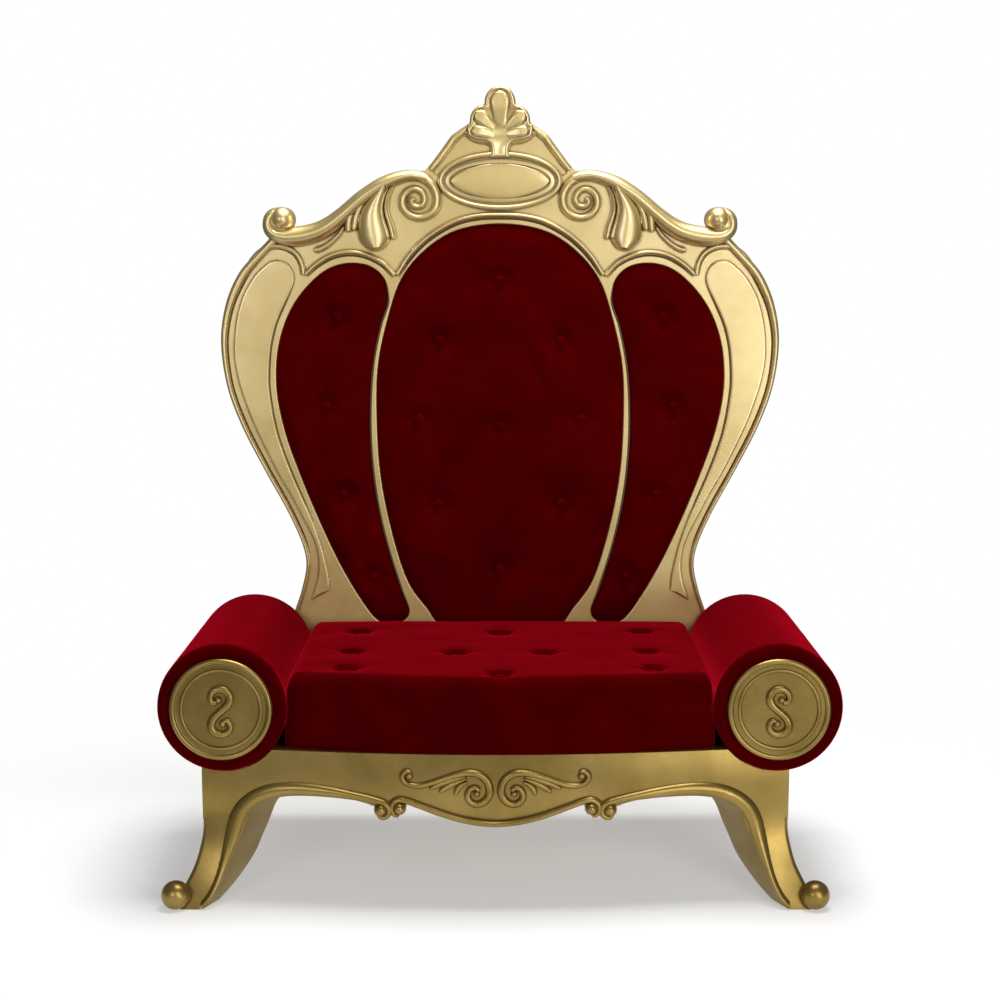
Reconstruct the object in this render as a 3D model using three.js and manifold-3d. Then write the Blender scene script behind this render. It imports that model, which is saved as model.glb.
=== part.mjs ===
// A wide ceremonial throne: a carved, gilded back frame with a rolled crest and three buttoned
// panels, a loose seat cushion between two bolster arms with carved discs, and a bow-fronted
// carved base on four legs.
// Millimetres. X is to the sitter's left as seen from in front (right-hand side of a front view),
// Y runs from the front to the back, Z is up from the floor. Inside this file Y is counted from
// the bolsters' front ends; the whole group is shifted at the end so that its box is centred.
import * as THREE from 'three';
import { mergeVertices } from 'three/addons/utils/BufferGeometryUtils.js';
import Module from 'manifold-3d';

const wasm = await Module();
wasm.setup();

// ---- driving dimensions -------------------------------------------------------------------
const GAP = 0.3;                 // air left between pieces that touch
const DECK_Z = 318;              // top of the base, where the cushion lies
const DECK_THICK = 22;
const BOLSTER_R = 130;
const BOLSTER_X = 556;
const BOLSTER_Z = 402;
const BOLSTER_LENGTH = 587;      // it stops at the raised rim of the back frame
const DISC_R = 103;
const DISC_THICK = 12;
const CUSHION_HALF = 424;
const BACK_FACE = 600;           // front face of the back frame's flat ground
const BACK_THICK = 56;
const WELL_DEPTH = 26;           // depth of the three upholstered wells
const BOW_SIDE = 25;             // the base's bowed front, at the corners
const BOW_RISE = 65;             // how far its middle comes forward of the corners
const BASE_HALF = 592;
const BUTTON_R = 11;
const GROUP_SHIFT = 321;         // from the bolsters' front ends to the middle of the box

const GOLD = { color: 0xb89a58, roughness: 0.36, metalness: 0.85 };
const VELVET = { color: 0x6e0610, roughness: 0.9, metalness: 0 };

// ---- building blocks ----------------------------------------------------------------------
const v2 = (x, z) => new THREE.Vector2(x, z);
const smooth = (points, count, closed = false) => new THREE.SplineCurve(
  closed ? [...points, points[0]].map(([x, z]) => v2(x, z)) : points.map(([x, z]) => v2(x, z)),
).getSpacedPoints(count).map((p) => [p.x, p.y]);

// Samples a smooth stretch for each list, so that the outline has corners only between lists.
const outline = (...stretches) => {
  const line = stretches.flatMap(({ points, count }) => smooth(points, count).slice(0, -1));
  const last = stretches.at(-1).points.at(-1);
  return [...line, last];
};
const mirrorLine = (line) => line.map(([x, z]) => [-x, z]).reverse();
const bothHalves = (half) => {
  const other = mirrorLine(half).filter(([x]) => Math.abs(x) > 1e-6);
  return [...half, ...other];
};

function geometryOf(vertices, triangles) {
  const geometry = new THREE.BufferGeometry();
  geometry.setAttribute('position', new THREE.Float32BufferAttribute(vertices.flat(), 3));
  geometry.setIndex(triangles.flat());
  return geometry;
}

const signedVolume = (vertices, triangles) => triangles.reduce((sum, [a, b, c]) => {
  const [p, q, r] = [vertices[a], vertices[b], vertices[c]].map((v) => new THREE.Vector3(...v));
  return sum + p.dot(q.cross(r)) / 6;
}, 0);

// Skins a row of equal rings into a closed body; cap(ring) gives the triangles that close an end.
function loft(rings, cap) {
  const size = rings[0].length;
  const vertices = rings.flat();
  const triangles = [];
  for (let k = 0; k + 1 < rings.length; k += 1) {
    for (let i = 0; i < size; i += 1) {
      const j = (i + 1) % size;
      const [a, b, c, d] = [k * size + i, k * size + j, (k + 1) * size + j, (k + 1) * size + i];
      triangles.push([a, b, c], [a, c, d]);
    }
  }
  const last = (rings.length - 1) * size;
  for (const [a, b, c] of cap(rings[0])) triangles.push([a, c, b]);
  for (const [a, b, c] of cap(rings.at(-1))) triangles.push([last + a, last + b, last + c]);
  if (signedVolume(vertices, triangles) < 0) triangles.forEach((t) => t.reverse());
  return geometryOf(vertices, triangles);
}
const fanCap = (ring) => ring.slice(2).map((_, i) => [0, i + 1, i + 2]);
const earCap = (u, v) => (ring) => {
  const flat = ring.map((p) => v2(p[u], p[v]));
  const turn = Math.sign(THREE.ShapeUtils.area(flat));
  return THREE.ShapeUtils.triangulateShape(flat, []).map(([a, b, c]) => (
    Math.sign(THREE.ShapeUtils.area([flat[a], flat[b], flat[c]])) === turn ? [a, b, c] : [a, c, b]
  ));
};
const capXZ = earCap(0, 2);
const capXY = earCap(0, 1);
const capYZ = earCap(1, 2);

// Moves each point of a closed line along its normal: outwards for a positive distance.
function offset(line, distance) {
  const turn = THREE.ShapeUtils.area(line.map(([x, z]) => v2(x, z))) > 0 ? 1 : -1;
  return line.map(([x, z], i) => {
    const before = line[(i + line.length - 1) % line.length];
    const after = line[(i + 1) % line.length];
    const along = v2(after[0] - before[0], after[1] - before[1]).normalize();
    return [x + turn * along.y * distance, z - turn * along.x * distance];
  });
}
const atDepth = (line, y) => line.map(([x, z]) => [x, y, z]);
const atHeight = (line, z) => line.map(([x, y]) => [x, y, z]);

function solidOf(geometry) {
  const bare = geometry.clone();
  bare.deleteAttribute('normal');
  bare.deleteAttribute('uv');
  const merged = mergeVertices(bare, 1e-3);
  const index = merged.index.array;
  const faces = [];
  for (let i = 0; i < index.length; i += 3) {
    const face = [index[i], index[i + 1], index[i + 2]];
    if (new Set(face).size === 3) faces.push(...face);
  }
  return new wasm.Manifold(new wasm.Mesh({
    numProp: 3,
    vertProperties: new Float32Array(merged.attributes.position.array),
    triVerts: new Uint32Array(faces),
  }));
}
const join = (geometries) => geometries.map(solidOf).reduce((sum, part) => sum.add(part));

function mirrored(geometry) {
  const copy = geometry.clone();
  const position = copy.attributes.position;
  for (let i = 0; i < position.count; i += 1) position.setX(i, -position.getX(i));
  const index = Array.from(copy.index.array);
  for (let i = 0; i < index.length; i += 3) [index[i], index[i + 1]] = [index[i + 1], index[i]];
  copy.setIndex(index);
  return copy;
}
const pair = (geometry) => [geometry, mirrored(geometry)];

function meshOf(name, shape, look) {
  let geometry = shape;
  if (!shape.isBufferGeometry) {
    const { vertProperties, triVerts } = shape.getMesh();
    geometry = new THREE.BufferGeometry();
    geometry.setAttribute('position', new THREE.BufferAttribute(vertProperties, 3));
    geometry.setIndex(new THREE.BufferAttribute(triVerts, 1));
  }
  geometry.computeVertexNormals();
  const mesh = new THREE.Mesh(geometry, new THREE.MeshStandardMaterial(look));
  mesh.name = name;
  return mesh;
}

// A carved strand: a rounded ridge that runs along a curve on a face that looks to the front.
// stations are [x, z, half width]; rise is its height over the face and sink its root in it.
// face(x, z) is the depth of the face there, and its ends are drawn in to a blunt half.
const BLUNT = 0.5;
function strand(stations, { rise, sink, face, count, sides = 4 }) {
  const path = new THREE.CatmullRomCurve3(stations.map((s) => new THREE.Vector3(...s)));
  const rings = [];
  for (let i = 0; i <= count; i += 1) {
    const { x, y: z, z: width } = path.getPoint(i / count);
    const way = path.getTangent(i / count).setZ(0).normalize();
    const end = i === 0 || i === count ? BLUNT : 1;
    const at = (across, height) => {
      const [px, pz] = [x + way.y * across, z - way.x * across];
      return [px, face(px, pz) - height, pz];
    };
    const ring = [at(-width * end, -sink)];
    for (let k = 0; k <= sides; k += 1) {
      const turn = Math.PI * (1 - k / sides);
      ring.push(at(width * end * Math.cos(turn), rise * end * Math.sin(turn)));
    }
    ring.push(at(width * end, -sink));
    rings.push(ring);
  }
  return loft(rings, fanCap);
}

// A dome that looks to the front: a scroll's eye or a rolled end.
function dome(x, z, radius, rise, y, sink, steps = 14) {
  const profile = [v2(0, -sink), v2(radius, -sink), v2(radius, 0)];
  for (const part of [0.3, 0.6, 0.85]) {
    const turn = part * Math.PI / 2;
    profile.push(v2(radius * Math.cos(turn), rise * Math.sin(turn)));
  }
  profile.push(v2(0, rise));
  return new THREE.LatheGeometry(profile, steps).rotateX(Math.PI).translate(x, y, z);
}

// ---- the back frame -----------------------------------------------------------------------
const flatBack = () => BACK_FACE;

// Edge of the frame from under the rolled end down to the deck: [x, z].
const FRAME_SIDE = [
  [517, 1330], [545, 1301], [582, 1259], [609, 1204], [624, 1140], [626, 1085], [613, 998],
  [583, 914], [532, 812], [478, 711], [447, 636], [441, 596], [453, 536], [474, 470], [480, 400],
];
// Edge of the palmette's ground, then the straight shoulder down to the rail.
const PALMETTE_EDGE = [
  [0, 1668], [17, 1663], [29, 1651], [34, 1637], [35, 1628], [48, 1623], [60, 1613], [66, 1600],
  [68, 1586], [76, 1580], [86, 1571], [97, 1565], [108, 1557], [118, 1545],
];
const SHOULDER = [[118, 1545], [134, 1522], [151, 1500], [168, 1482]];
const RAIL_EDGE = [
  [168, 1482], [205, 1480], [253, 1464], [303, 1431], [350, 1392], [403, 1358], [455, 1345], [500, 1345],
];
// Carved lines on the flat ground: [x, z] or [x, z, half width].
const CENTRE_BEAD = [[0, 1385], [52, 1382.5], [99, 1371], [158, 1338], [202, 1296], [232, 1250]];
const SIDE_BEAD = [[234, 1249], [262, 1279], [298, 1297], [334, 1303], [375, 1296], [410, 1276], [437, 1251]];
const SHOULDER_BEAD = [
  [439, 1250, 6.5], [443, 1277, 6.5], [456, 1300, 6.5], [478, 1313, 6.5], [500, 1316, 6.5],
  [520, 1312, 7], [540, 1298, 8], [560, 1274, 8],
];
// The kidney-shaped panel, down the velvet's side from its top and back up the rim's side.
const KIDNEY_INNER = [
  [498, 1286], [481, 1282], [467, 1270], [460, 1255], [459, 1240], [463, 1225], [470, 1210],
  [480, 1190], [492, 1165], [502, 1140], [509, 1115], [514, 1090], [518, 1050], [519, 1010],
  [516, 975], [507, 920], [497, 880], [474, 815], [447, 750], [425, 700], [405, 640], [393, 590],
  [388, 560], [388, 538],
];
const KIDNEY_OUTER = [
  [431, 514], [424, 538], [416, 565], [413, 600], [419, 640], [433, 675], [447, 702], [475, 757],
  [500, 800], [525, 850], [550, 903], [573, 962], [589, 1015], [597, 1060], [598, 1090], [592, 1150],
  [577, 1203], [560, 1235], [545, 1256], [528, 1272], [513, 1283], [498, 1286],
];
const RAIL = [
  [158, 1467, 9], [178, 1469, 12], [205, 1471, 13], [253, 1456, 16], [303, 1425, 17], [350, 1385, 18],
  [378, 1363, 20], [403, 1349, 21.5], [428, 1341, 22.5], [455, 1336.5, 22.5], [480, 1338, 20],
  [502, 1350, 17],
];
const CURL = { x: 495.5, z: 1368, r: 34 };
const LEAF = [
  [256, 1452, 6], [268, 1432, 12], [281, 1410, 18], [288, 1388, 26], [289, 1365, 31], [287, 1345, 32],
  [284, 1328, 27], [281, 1310, 14],
];
const LEAF_INNER = [
  [[240, 1446, 4], [252, 1420, 6], [253, 1396, 6], [246, 1366, 7], [238, 1336, 8]],
  [[249, 1442, 4], [262, 1414, 7], [262, 1380, 8], [255, 1356, 8.5], [248, 1337, 8.5]],
];
const LEAF_OUTER = [
  [[272, 1445, 4], [298, 1420, 8], [315, 1394, 9], [323, 1370, 9.5], [326, 1354, 9]],
  [[286, 1444, 4], [312, 1419, 7], [328, 1396, 9], [336, 1372, 10], [338, 1352, 10]],
];
const TENDRIL = [[347, 1360, 3.5], [358, 1343, 5.5], [374, 1327, 6.5], [392, 1314, 7.5], [417, 1309, 7]];
const PETALS = [
  [[0, 1578, 10], [0, 1600, 18], [0, 1622, 23], [0, 1642, 24], [0, 1655, 14]],
  [[14, 1573, 8], [26, 1584, 14], [38, 1595, 17], [49, 1604, 16], [56, 1609, 9]],
  [[12, 1561, 8], [28, 1564, 13], [44, 1567, 15], [56, 1568, 14], [64, 1568, 8]],
];
// The lower edge of the palmette's plate, to its foot on the oval.
const PALMETTE_FOOT = [[74, 1574], [70, 1557], [52, 1549], [34, 1546], [24, 1541], [20, 1530], [22, 1510]];
const PALMETTE_BEAD = [
  [84, 1566, 4], [74, 1566, 5], [64, 1554, 5], [48, 1548, 5], [30, 1546, 5], [19, 1540, 5], [16, 1519, 5],
];
const SHOULDER_RIM = [
  [84, 1566, 5], [101, 1554, 8], [113, 1538, 8], [127, 1519, 8], [142, 1499, 8], [156, 1482, 7],
];
const SHOULDER_PANEL = [
  [150, 1480], [120, 1516], [92, 1551], [75, 1559], [66, 1551], [50, 1543], [30, 1540],
  [19, 1526], [23, 1517], [45, 1514], [85, 1504], [114, 1488], [130, 1474], [141, 1471],
];
const OVAL = { z: 1459.5, a: 139, b: 66 };
const VOLUTE = [
  [176, 1467, 11], [160, 1459, 11], [147, 1444, 10.5], [140, 1424, 10.5], [143, 1402, 10.5],
  [157, 1386, 10], [180, 1379, 9.5], [202, 1386, 9.5], [215.5, 1403, 9.5], [215.5, 1423, 9.5],
  [205, 1437.5, 9], [188, 1442, 8.5], [173, 1434, 8.5], [167.5, 1419, 8.5],
];
const VOLUTE_EYE = { x: 184, z: 1416, r: 15 };
// A well's edge, [x, z].
const CENTRE_WELL = [
  [0, 1365], [103, 1348], [173, 1302], [221, 1242], [253, 1150], [274, 1050],
  [278, 950], [270, 800], [240, 650], [206, 550], [168, 497], [128, 450],
];
const SIDE_WELL = [
  [328, 1278], [285, 1268], [258, 1240], [251, 1195], [268, 1140], [286, 1050], [293, 950], [291, 850],
  [280, 750], [259, 650], [229, 550], [208, 490], [212, 474], [228, 463], [262, 460], [284, 472],
  [321, 522], [365, 600], [411, 700], [451, 800], [485, 900], [503, 1000], [497, 1095], [469, 1174],
  [424, 1234], [378, 1268],
];
const WELL_WALL = 4;             // width of the sloping wall round the velvet

// Runs beside an open line at a distance, to the right of its way for a positive one.
function beside(line, distance) {
  return line.map(([x, z], i) => {
    const before = line[Math.max(i - 1, 0)];
    const after = line[Math.min(i + 1, line.length - 1)];
    const way = v2(after[0] - before[0], after[1] - before[1]).normalize();
    return [x + way.y * distance, z - way.x * distance];
  });
}
const withWidth = (line, width) => line.map(([x, z]) => [x, z, width]);
const acrossMiddle = (half) => [...half.slice(1).reverse().map(([x, ...rest]) => [-x, ...rest]), ...half];

function backPlate() {
  const inset = 5;
  const half = outline(
    { points: PALMETTE_EDGE.map(([x, z]) => [x * 0.95, z - 5]), count: 9 },
    { points: SHOULDER, count: 2 },
    { points: RAIL_EDGE, count: 5 },
    { points: beside(FRAME_SIDE, inset), count: 16 },
    { points: [[480 - inset, 400], [480 - inset, DECK_Z + GAP]], count: 1 },
  );
  const line = bothHalves([...half, [0, DECK_Z + GAP]]);
  return loft([atDepth(line, BACK_FACE + BACK_THICK), atDepth(line, BACK_FACE)], capXZ);
}

// The closed line of a well's velvet edge, and that of the top of its sloping wall.
function wellLines(stations, count) {
  const velvet = smooth(stations, count, true).slice(0, -1);
  return { velvet, rim: offset(velvet, WELL_WALL) };
}
const centreLines = wellLines([
  ...CENTRE_WELL, ...CENTRE_WELL.slice(1).reverse().map(([x, z]) => [-x, z]),
], 34);
const sideLines = wellLines(SIDE_WELL, 32);

const mirroredLines = ({ velvet, rim }) => ({ velvet: mirrorLine(velvet), rim: mirrorLine(rim) });

function wellCutter({ velvet, rim }) {
  const edge = BACK_FACE + 0.45 * WELL_DEPTH;
  return loft([
    atDepth(velvet, BACK_FACE + WELL_DEPTH), atDepth(velvet, edge),
    atDepth(rim, BACK_FACE), atDepth(rim, BACK_FACE - 5),
  ], capXZ);
}

const ellipse = (a, b, steps) => Array.from({ length: steps }, (_, i) => {
  const turn = (2 * Math.PI * i) / steps;
  return [a * Math.cos(turn), OVAL.z + b * Math.sin(turn)];
});
// An oval whose ends are drawn to points.
const pointedOval = (a, b, steps) => ellipse(1, 0, steps).map(([c], i) => {
  const s = Math.sin((2 * Math.PI * i) / steps);
  return [a * c, OVAL.z + b * Math.sign(s) * Math.abs(s) ** 1.35];
});

function cartouche() {
  const ring = [[0, 6], [2, -10], [7, -15], [12, -11], [14, -4]];
  const frame = loft(
    ring.map(([inset, y]) => atDepth(ellipse(OVAL.a - inset, OVAL.b - inset, 22), BACK_FACE + y)),
    capXZ,
  );
  const pad = [[1, 0], [0.95, -10], [0.7, -13]];
  const shield = loft(
    pad.map(([scale, y]) => atDepth(pointedOval(111 * scale, 40 * scale, 16), BACK_FACE + y)),
    capXZ,
  );
  return [frame, shield];
}

function volute() {
  return [
    strand(VOLUTE, { rise: 16, sink: 8, face: flatBack, count: 16, sides: 3 }),
    dome(VOLUTE_EYE.x, VOLUTE_EYE.z, VOLUTE_EYE.r, 20, BACK_FACE, 8, 8),
  ];
}

// The palmette's plate; its petals stand on it.
function palmettePlate() {
  const half = [...smooth(PALMETTE_EDGE.slice(0, 10), 13).slice(0, -1), ...smooth(PALMETTE_FOOT, 6)];
  const line = bothHalves([...half, [0, PALMETTE_FOOT.at(-1)[1]]]);
  const steps = [[0, 8 - BACK_THICK], [0, 9], [3, 14]];
  return loft(steps.map(([inset, high]) => atDepth(offset(line, -inset), BACK_FACE - high)), capXZ);
}

function kidneyPanel() {
  const line = [...smooth(KIDNEY_INNER, 17), ...smooth(KIDNEY_OUTER, 17).slice(0, -1)];
  const steps = [[0, -5], [0, 4], [3, 7]];
  return loft(steps.map(([inset, high]) => atDepth(offset(line, -inset), BACK_FACE - high)), capXZ);
}

// The sunk three-cornered panel between the palmette, the shoulder and the oval.
function shoulderPanel() {
  return loft([atDepth(SHOULDER_PANEL, BACK_FACE + 5), atDepth(SHOULDER_PANEL, BACK_FACE - 5)], capXZ);
}

// The rounded rim along the frame's side is broadest at the shoulder.
function sideRim() {
  const line = [[497, 1352], ...FRAME_SIDE, [480, DECK_Z + 12]];
  const inward = beside(line, 1);
  return line.map(([x, z], i) => {
    const half = 4.6 + 5.4 * THREE.MathUtils.clamp((z - 560) / 670, 0, 1) ** 3;
    return [x + (inward[i][0] - x) * half, z + (inward[i][1] - z) * half, half];
  });
}

function backFrame() {
  const bead = (line, rise, count) => strand(withWidth(line, 6.5), {
    rise, sink: 6, face: flatBack, count, sides: 3,
  });
  const low = (stations, rise, count, sides = 4) => strand(stations, {
    rise, sink: 6, face: flatBack, count, sides,
  });
  const edge = (stations, rise, count, sides) => strand(stations, {
    rise, sink: BACK_THICK, face: flatBack, count, sides,
  });
  const carving = [
    ...pair(edge(RAIL, 26, 12, 4)),
    ...pair(dome(CURL.x, CURL.z, CURL.r, 36, BACK_FACE, BACK_THICK)),
    ...pair(edge(sideRim(), 11, 18, 3)),
    ...pair(edge(SHOULDER_RIM, 9, 5, 3)),
    ...pair(low(PALMETTE_BEAD, 7, 7, 3)),
    bead(acrossMiddle(CENTRE_BEAD), 12, 14),
    ...pair(bead(SIDE_BEAD, 12, 8)),
    ...pair(low(SHOULDER_BEAD, 9, 8, 3)),
    ...pair(kidneyPanel()),
    ...pair(low(LEAF, 28, 7)),
    ...LEAF_INNER.flatMap((line) => pair(low(line, 18, 4, 3))),
    ...LEAF_OUTER.flatMap((line) => pair(low(line, 18, 4, 3))),
    ...pair(low(TENDRIL, 11, 4, 3)),
    ...volute().flatMap(pair),
    ...cartouche(),
    palmettePlate(),
    low(PETALS[0], 20, 4, 3),
    ...PETALS.slice(1).flatMap((line) => pair(low(line, 20, 4, 3))),
  ];
  const cuts = join([wellCutter(centreLines), ...pair(wellCutter(sideLines)), ...pair(shoulderPanel())]);
  return solidOf(backPlate()).subtract(cuts).add(join(carving));
}

// Where a closed line crosses the level z: its lowest and highest x.
function spanAt(line, z) {
  const xs = [];
  line.forEach(([x0, z0], i) => {
    const [x1, z1] = line[(i + 1) % line.length];
    if ((z0 - z) * (z1 - z) <= 0 && z0 !== z1) xs.push(x0 + ((x1 - x0) * (z - z0)) / (z1 - z0));
  });
  return [Math.min(...xs), Math.max(...xs)];
}

// A pad lies in its well: its edge is sunk and its face is crowned. Its sections run across it,
// and the well's own line, drawn in by the gap, trims it.
const PAD = { edge: 14, crown: -5, shoulder: 34 };
function backPad({ velvet }) {
  const heights = velvet.map(([, z]) => z);
  const [low, high] = [Math.min(...heights) + 1, Math.max(...heights) - 1];
  const across = [0, 0.05, 0.18, 0.5, 0.82, 0.95, 1];
  const rows = 13;
  const rings = [];
  for (let row = 0; row <= rows; row += 1) {
    const z = low + ((high - low) * (1 - Math.cos((Math.PI * row) / rows))) / 2;
    const [left, right] = spanAt(velvet, z);
    const front = across.map((t) => {
      const x = left + (right - left) * t;
      const inside = Math.max(Math.min(x - left, right - x, high - z, z - low), 0) / PAD.shoulder;
      const full = Math.sqrt(1 - (1 - Math.min(inside, 1)) ** 2);
      return [x, BACK_FACE + PAD.edge + (PAD.crown - PAD.edge) * full, z];
    });
    const back = BACK_FACE + WELL_DEPTH - GAP;
    rings.push([[left, back, z], ...front, [right, back, z]]);
  }
  const line = offset(velvet, -GAP);
  const reach = [2 * WELL_DEPTH, -WELL_DEPTH];
  const trim = loft(reach.map((y) => atDepth(line, BACK_FACE + y)), capXZ);
  return solidOf(loft(rings, fanCap)).intersect(solidOf(trim));
}

// ---- seat and arms ------------------------------------------------------------------------
const CUSHION = { front: 12, bow: 55, back: 590, edge: 126, top: 152, shoulder: 24 };
const cushionFront = (x) => CUSHION.front - CUSHION.bow * Math.cos((Math.PI * x) / (2 * CUSHION_HALF));

// Skinned from side to side: each section has a rolled front, a crowned top and a soft back edge.
function seatCushion() {
  const rings = [-1, -0.985, -0.95, -0.72, -0.4, 0, 0.4, 0.72, 0.95, 0.985, 1].map((part) => {
    const x = CUSHION_HALF * part;
    const inside = Math.min((CUSHION_HALF - Math.abs(x)) / CUSHION.shoulder, 1);
    const full = Math.sqrt(1 - (1 - inside) ** 2);
    const top = CUSHION.edge + (CUSHION.top - CUSHION.edge) * full;
    const [front, back] = [cushionFront(x) + 9 * (1 - full), CUSHION.back - 14 * (1 - full)];
    return [
      [front + 16, 0], [front + 3, 14], [front, 46], [front + 3, top - 34], [front + 20, top - 10],
      [front + 56, top], [back - 60, top], [back - 16, top - 12], [back, top - 44], [back, 16],
      [back - 16, 0],
    ].map(([y, up]) => [x, y, DECK_Z + GAP + up]);
  });
  return loft(rings, fanCap);
}
const SEAT_TOP_Z = DECK_Z + GAP + CUSHION.top;

function armBolster(side) {
  const profile = [
    [0, 0], [DISC_R + 1, 0], [123, 2], [BOLSTER_R, 13],
    [BOLSTER_R, BOLSTER_LENGTH - GAP], [0, BOLSTER_LENGTH - GAP],
  ].map(([r, y]) => v2(r, y));
  return new THREE.LatheGeometry(profile, 28).translate(side * BOLSTER_X, 0, BOLSTER_Z);
}

// The gilt disc on a bolster's front: a rolled rim, a thin inner bead and a scroll on its field.
const DISC_FIELD = 7;            // thickness of the disc's flat field
// Half of the scroll, from its middle to the hook's end: [x, z, half width]. The other half is
// the same line turned half round.
const SCROLL_HALF = [
  [0, 0, 9.5], [-9, 8, 9], [-17, 19, 9], [-19.5, 31, 9], [-13, 42.5, 8.5], [-1, 47.5, 8],
  [11, 46, 8], [17.5, 38, 9], [14, 30, 10],
];
const SCROLL_EYE = { x: 10, z: 28, r: 13 };
const SCROLL_DROP = 4;           // how far the scroll's middle lies under the disc's

function armDisc(side) {
  const profile = [
    [0, 0], [DISC_R, 0], [DISC_R, 6], [97, DISC_THICK], [90, DISC_FIELD],
    [80, DISC_FIELD + 2], [76, DISC_FIELD], [0, DISC_FIELD],
  ].map(([r, y]) => v2(r, y));
  const plate = new THREE.LatheGeometry(profile, 22).rotateX(Math.PI);
  const face = () => -DISC_FIELD;
  const turned = SCROLL_HALF.slice(1).map(([x, z, half]) => [-x, -z, half]);
  const line = [...turned.reverse(), ...SCROLL_HALF];
  const ridge = strand(
    line.map(([x, z, half]) => [side * x, z - SCROLL_DROP, half]),
    { rise: 8, sink: 4, face, count: 16, sides: 3 },
  );
  const eyes = [1, -1].map((end) => dome(
    side * end * SCROLL_EYE.x, end * SCROLL_EYE.z - SCROLL_DROP, SCROLL_EYE.r, 9, face(), 4, 8,
  ));
  for (const piece of [plate, ridge, ...eyes]) piece.translate(side * BOLSTER_X, -GAP, BOLSTER_Z);
  return join([plate, ridge, ...eyes]);
}

// ---- the base -----------------------------------------------------------------------------
const BASE_SHIFT = -9;           // the base sits a little left of the seat's middle
const BASE_BACK = 656;
const APRON_THICK = 30;
const KICK = 60;                 // how far a front leg runs forward and outward at its foot
const KICK_FROM = 190;           // the height where it starts
const FOOT_BALL = { x: 640, r: 29 };
const bow = (x) => {
  const part = Math.min(Math.abs(x) / BASE_HALF, 1);
  return BOW_SIDE - BOW_RISE * Math.cos((Math.PI * part) / 2);
};
const kick = (z) => KICK * (Math.max(KICK_FROM - z, 0) / KICK_FROM) ** 2.1;
const baseFace = (x, z) => bow(x) - kick(z);

// Lower edge of the front apron, from the middle to the leg's foot.
const APRON_EDGE = [
  [0, 170], [45, 174], [78, 182], [110, 193], [142, 206], [170, 217], [192, 215], [214, 208],
  [236, 208], [262, 216], [298, 224], [340, 229], [406, 228], [442, 222], [474, 211],
  [497, 188], [512, 160],
];
const BASE_SIDE = [[598, 118], [594, 142], [BASE_HALF, 268], [BASE_HALF, DECK_Z]];
const LEG_BEAD = [
  [235, 198, 5], [226, 189.5, 6.5], [215, 195, 7.5], [212, 207, 8], [221, 218, 8], [240, 224, 8.5],
  [264, 229, 9], [290, 233, 10], [330, 238, 12], [379, 241, 14], [415, 240, 15], [450, 234, 16],
  [482, 220, 16], [507, 198, 16], [521, 172, 16], [529, 145, 15], [537, 118, 12.5], [545, 92, 9.5],
  [553, 66, 8], [563, 42, 7], [575, 22, 6.5], [586, 11, 5],
];
const MIDDLE_BEAD = [
  [0, 179, 7], [50, 184, 7], [85, 192, 7], [115, 202, 7.5], [150, 215, 7.5], [175, 224, 8],
  [192, 226, 8], [204, 219, 8], [206, 207, 7],
];
const CURLS = [[228, 204, 12.5], [191, 208, 12]];
const WING = [
  [166, 284, 4], [177, 285, 6], [185, 276, 6.5], [180, 263, 6.5], [166, 257, 6.5], [150, 256, 7],
  [130, 261, 7], [105, 270, 7], [80, 278, 7.5], [56, 283, 8], [36, 281, 8.5], [20, 271, 9], [12, 255, 8],
  [13, 238, 8], [23, 224, 8.5], [38, 219, 8], [51, 226, 8], [55, 240, 7.5], [49, 251, 7],
];
const WING_EYES = [[37, 241, 9], [171, 276, 9]];
const FEATHERS = [
  [[58, 276, 3], [78, 271, 6], [104, 262, 7], [132, 250, 5.5]],
  [[56, 272, 3], [74, 265, 6], [94, 255, 7.5], [113, 243, 6]],
  [[54, 265, 3], [68, 258, 6], [77, 247, 7], [79, 235, 6.5]],
];

// A corner leg's sections from the top to the sole: [z, inner x, outer x].
const LEG = [
  [296, 500, 590], [210, 487, 590], [178, 499, 591], [142, 512, 592], [110, 526, 598], [79, 539, 607],
  [47, 556, 622], [22, 571, 634], [0, 588, 634],
];
const LEG_DEPTH = 115;           // from its front face to its hidden inner corner
const LEG_SPLAY = 47;            // how far that corner lies inward of the front one
function cornerLeg() {
  const rings = LEG.map(([z, inner, outer]) => {
    const [front, frontIn] = [bow(outer) - kick(z), bow(inner) - kick(z)];
    const width = outer - inner;
    const chamfer = 7;
    const slim = z < 60 ? 0.55 + (0.45 * z) / 60 : 1;
    const depth = LEG_DEPTH * slim;
    return atHeight([
      [inner, frontIn], [outer - chamfer, front], [outer, front + chamfer],
      [outer, front + Math.min(width, depth)], [inner - LEG_SPLAY * slim, frontIn + depth],
    ], z);
  });
  return loft(rings, fanCap);
}
// A back leg is plainer: square, tapered, and run out to the back.
const BACK_LEG = [
  [296, 530, 590, 0], [150, 532, 592, 0], [80, 540, 597, 12], [30, 553, 604, 34], [0, 560, 606, 44],
];
const BACK_LEG_DEPTH = 70;
function backLeg() {
  const rings = BACK_LEG.map(([z, inner, outer, run]) => {
    const far = BASE_BACK + run;
    const near = far - BACK_LEG_DEPTH + run / 2;
    return atHeight([[inner, near], [outer, near], [outer, far], [inner, far]], z);
  });
  return loft(rings, fanCap);
}

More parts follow.
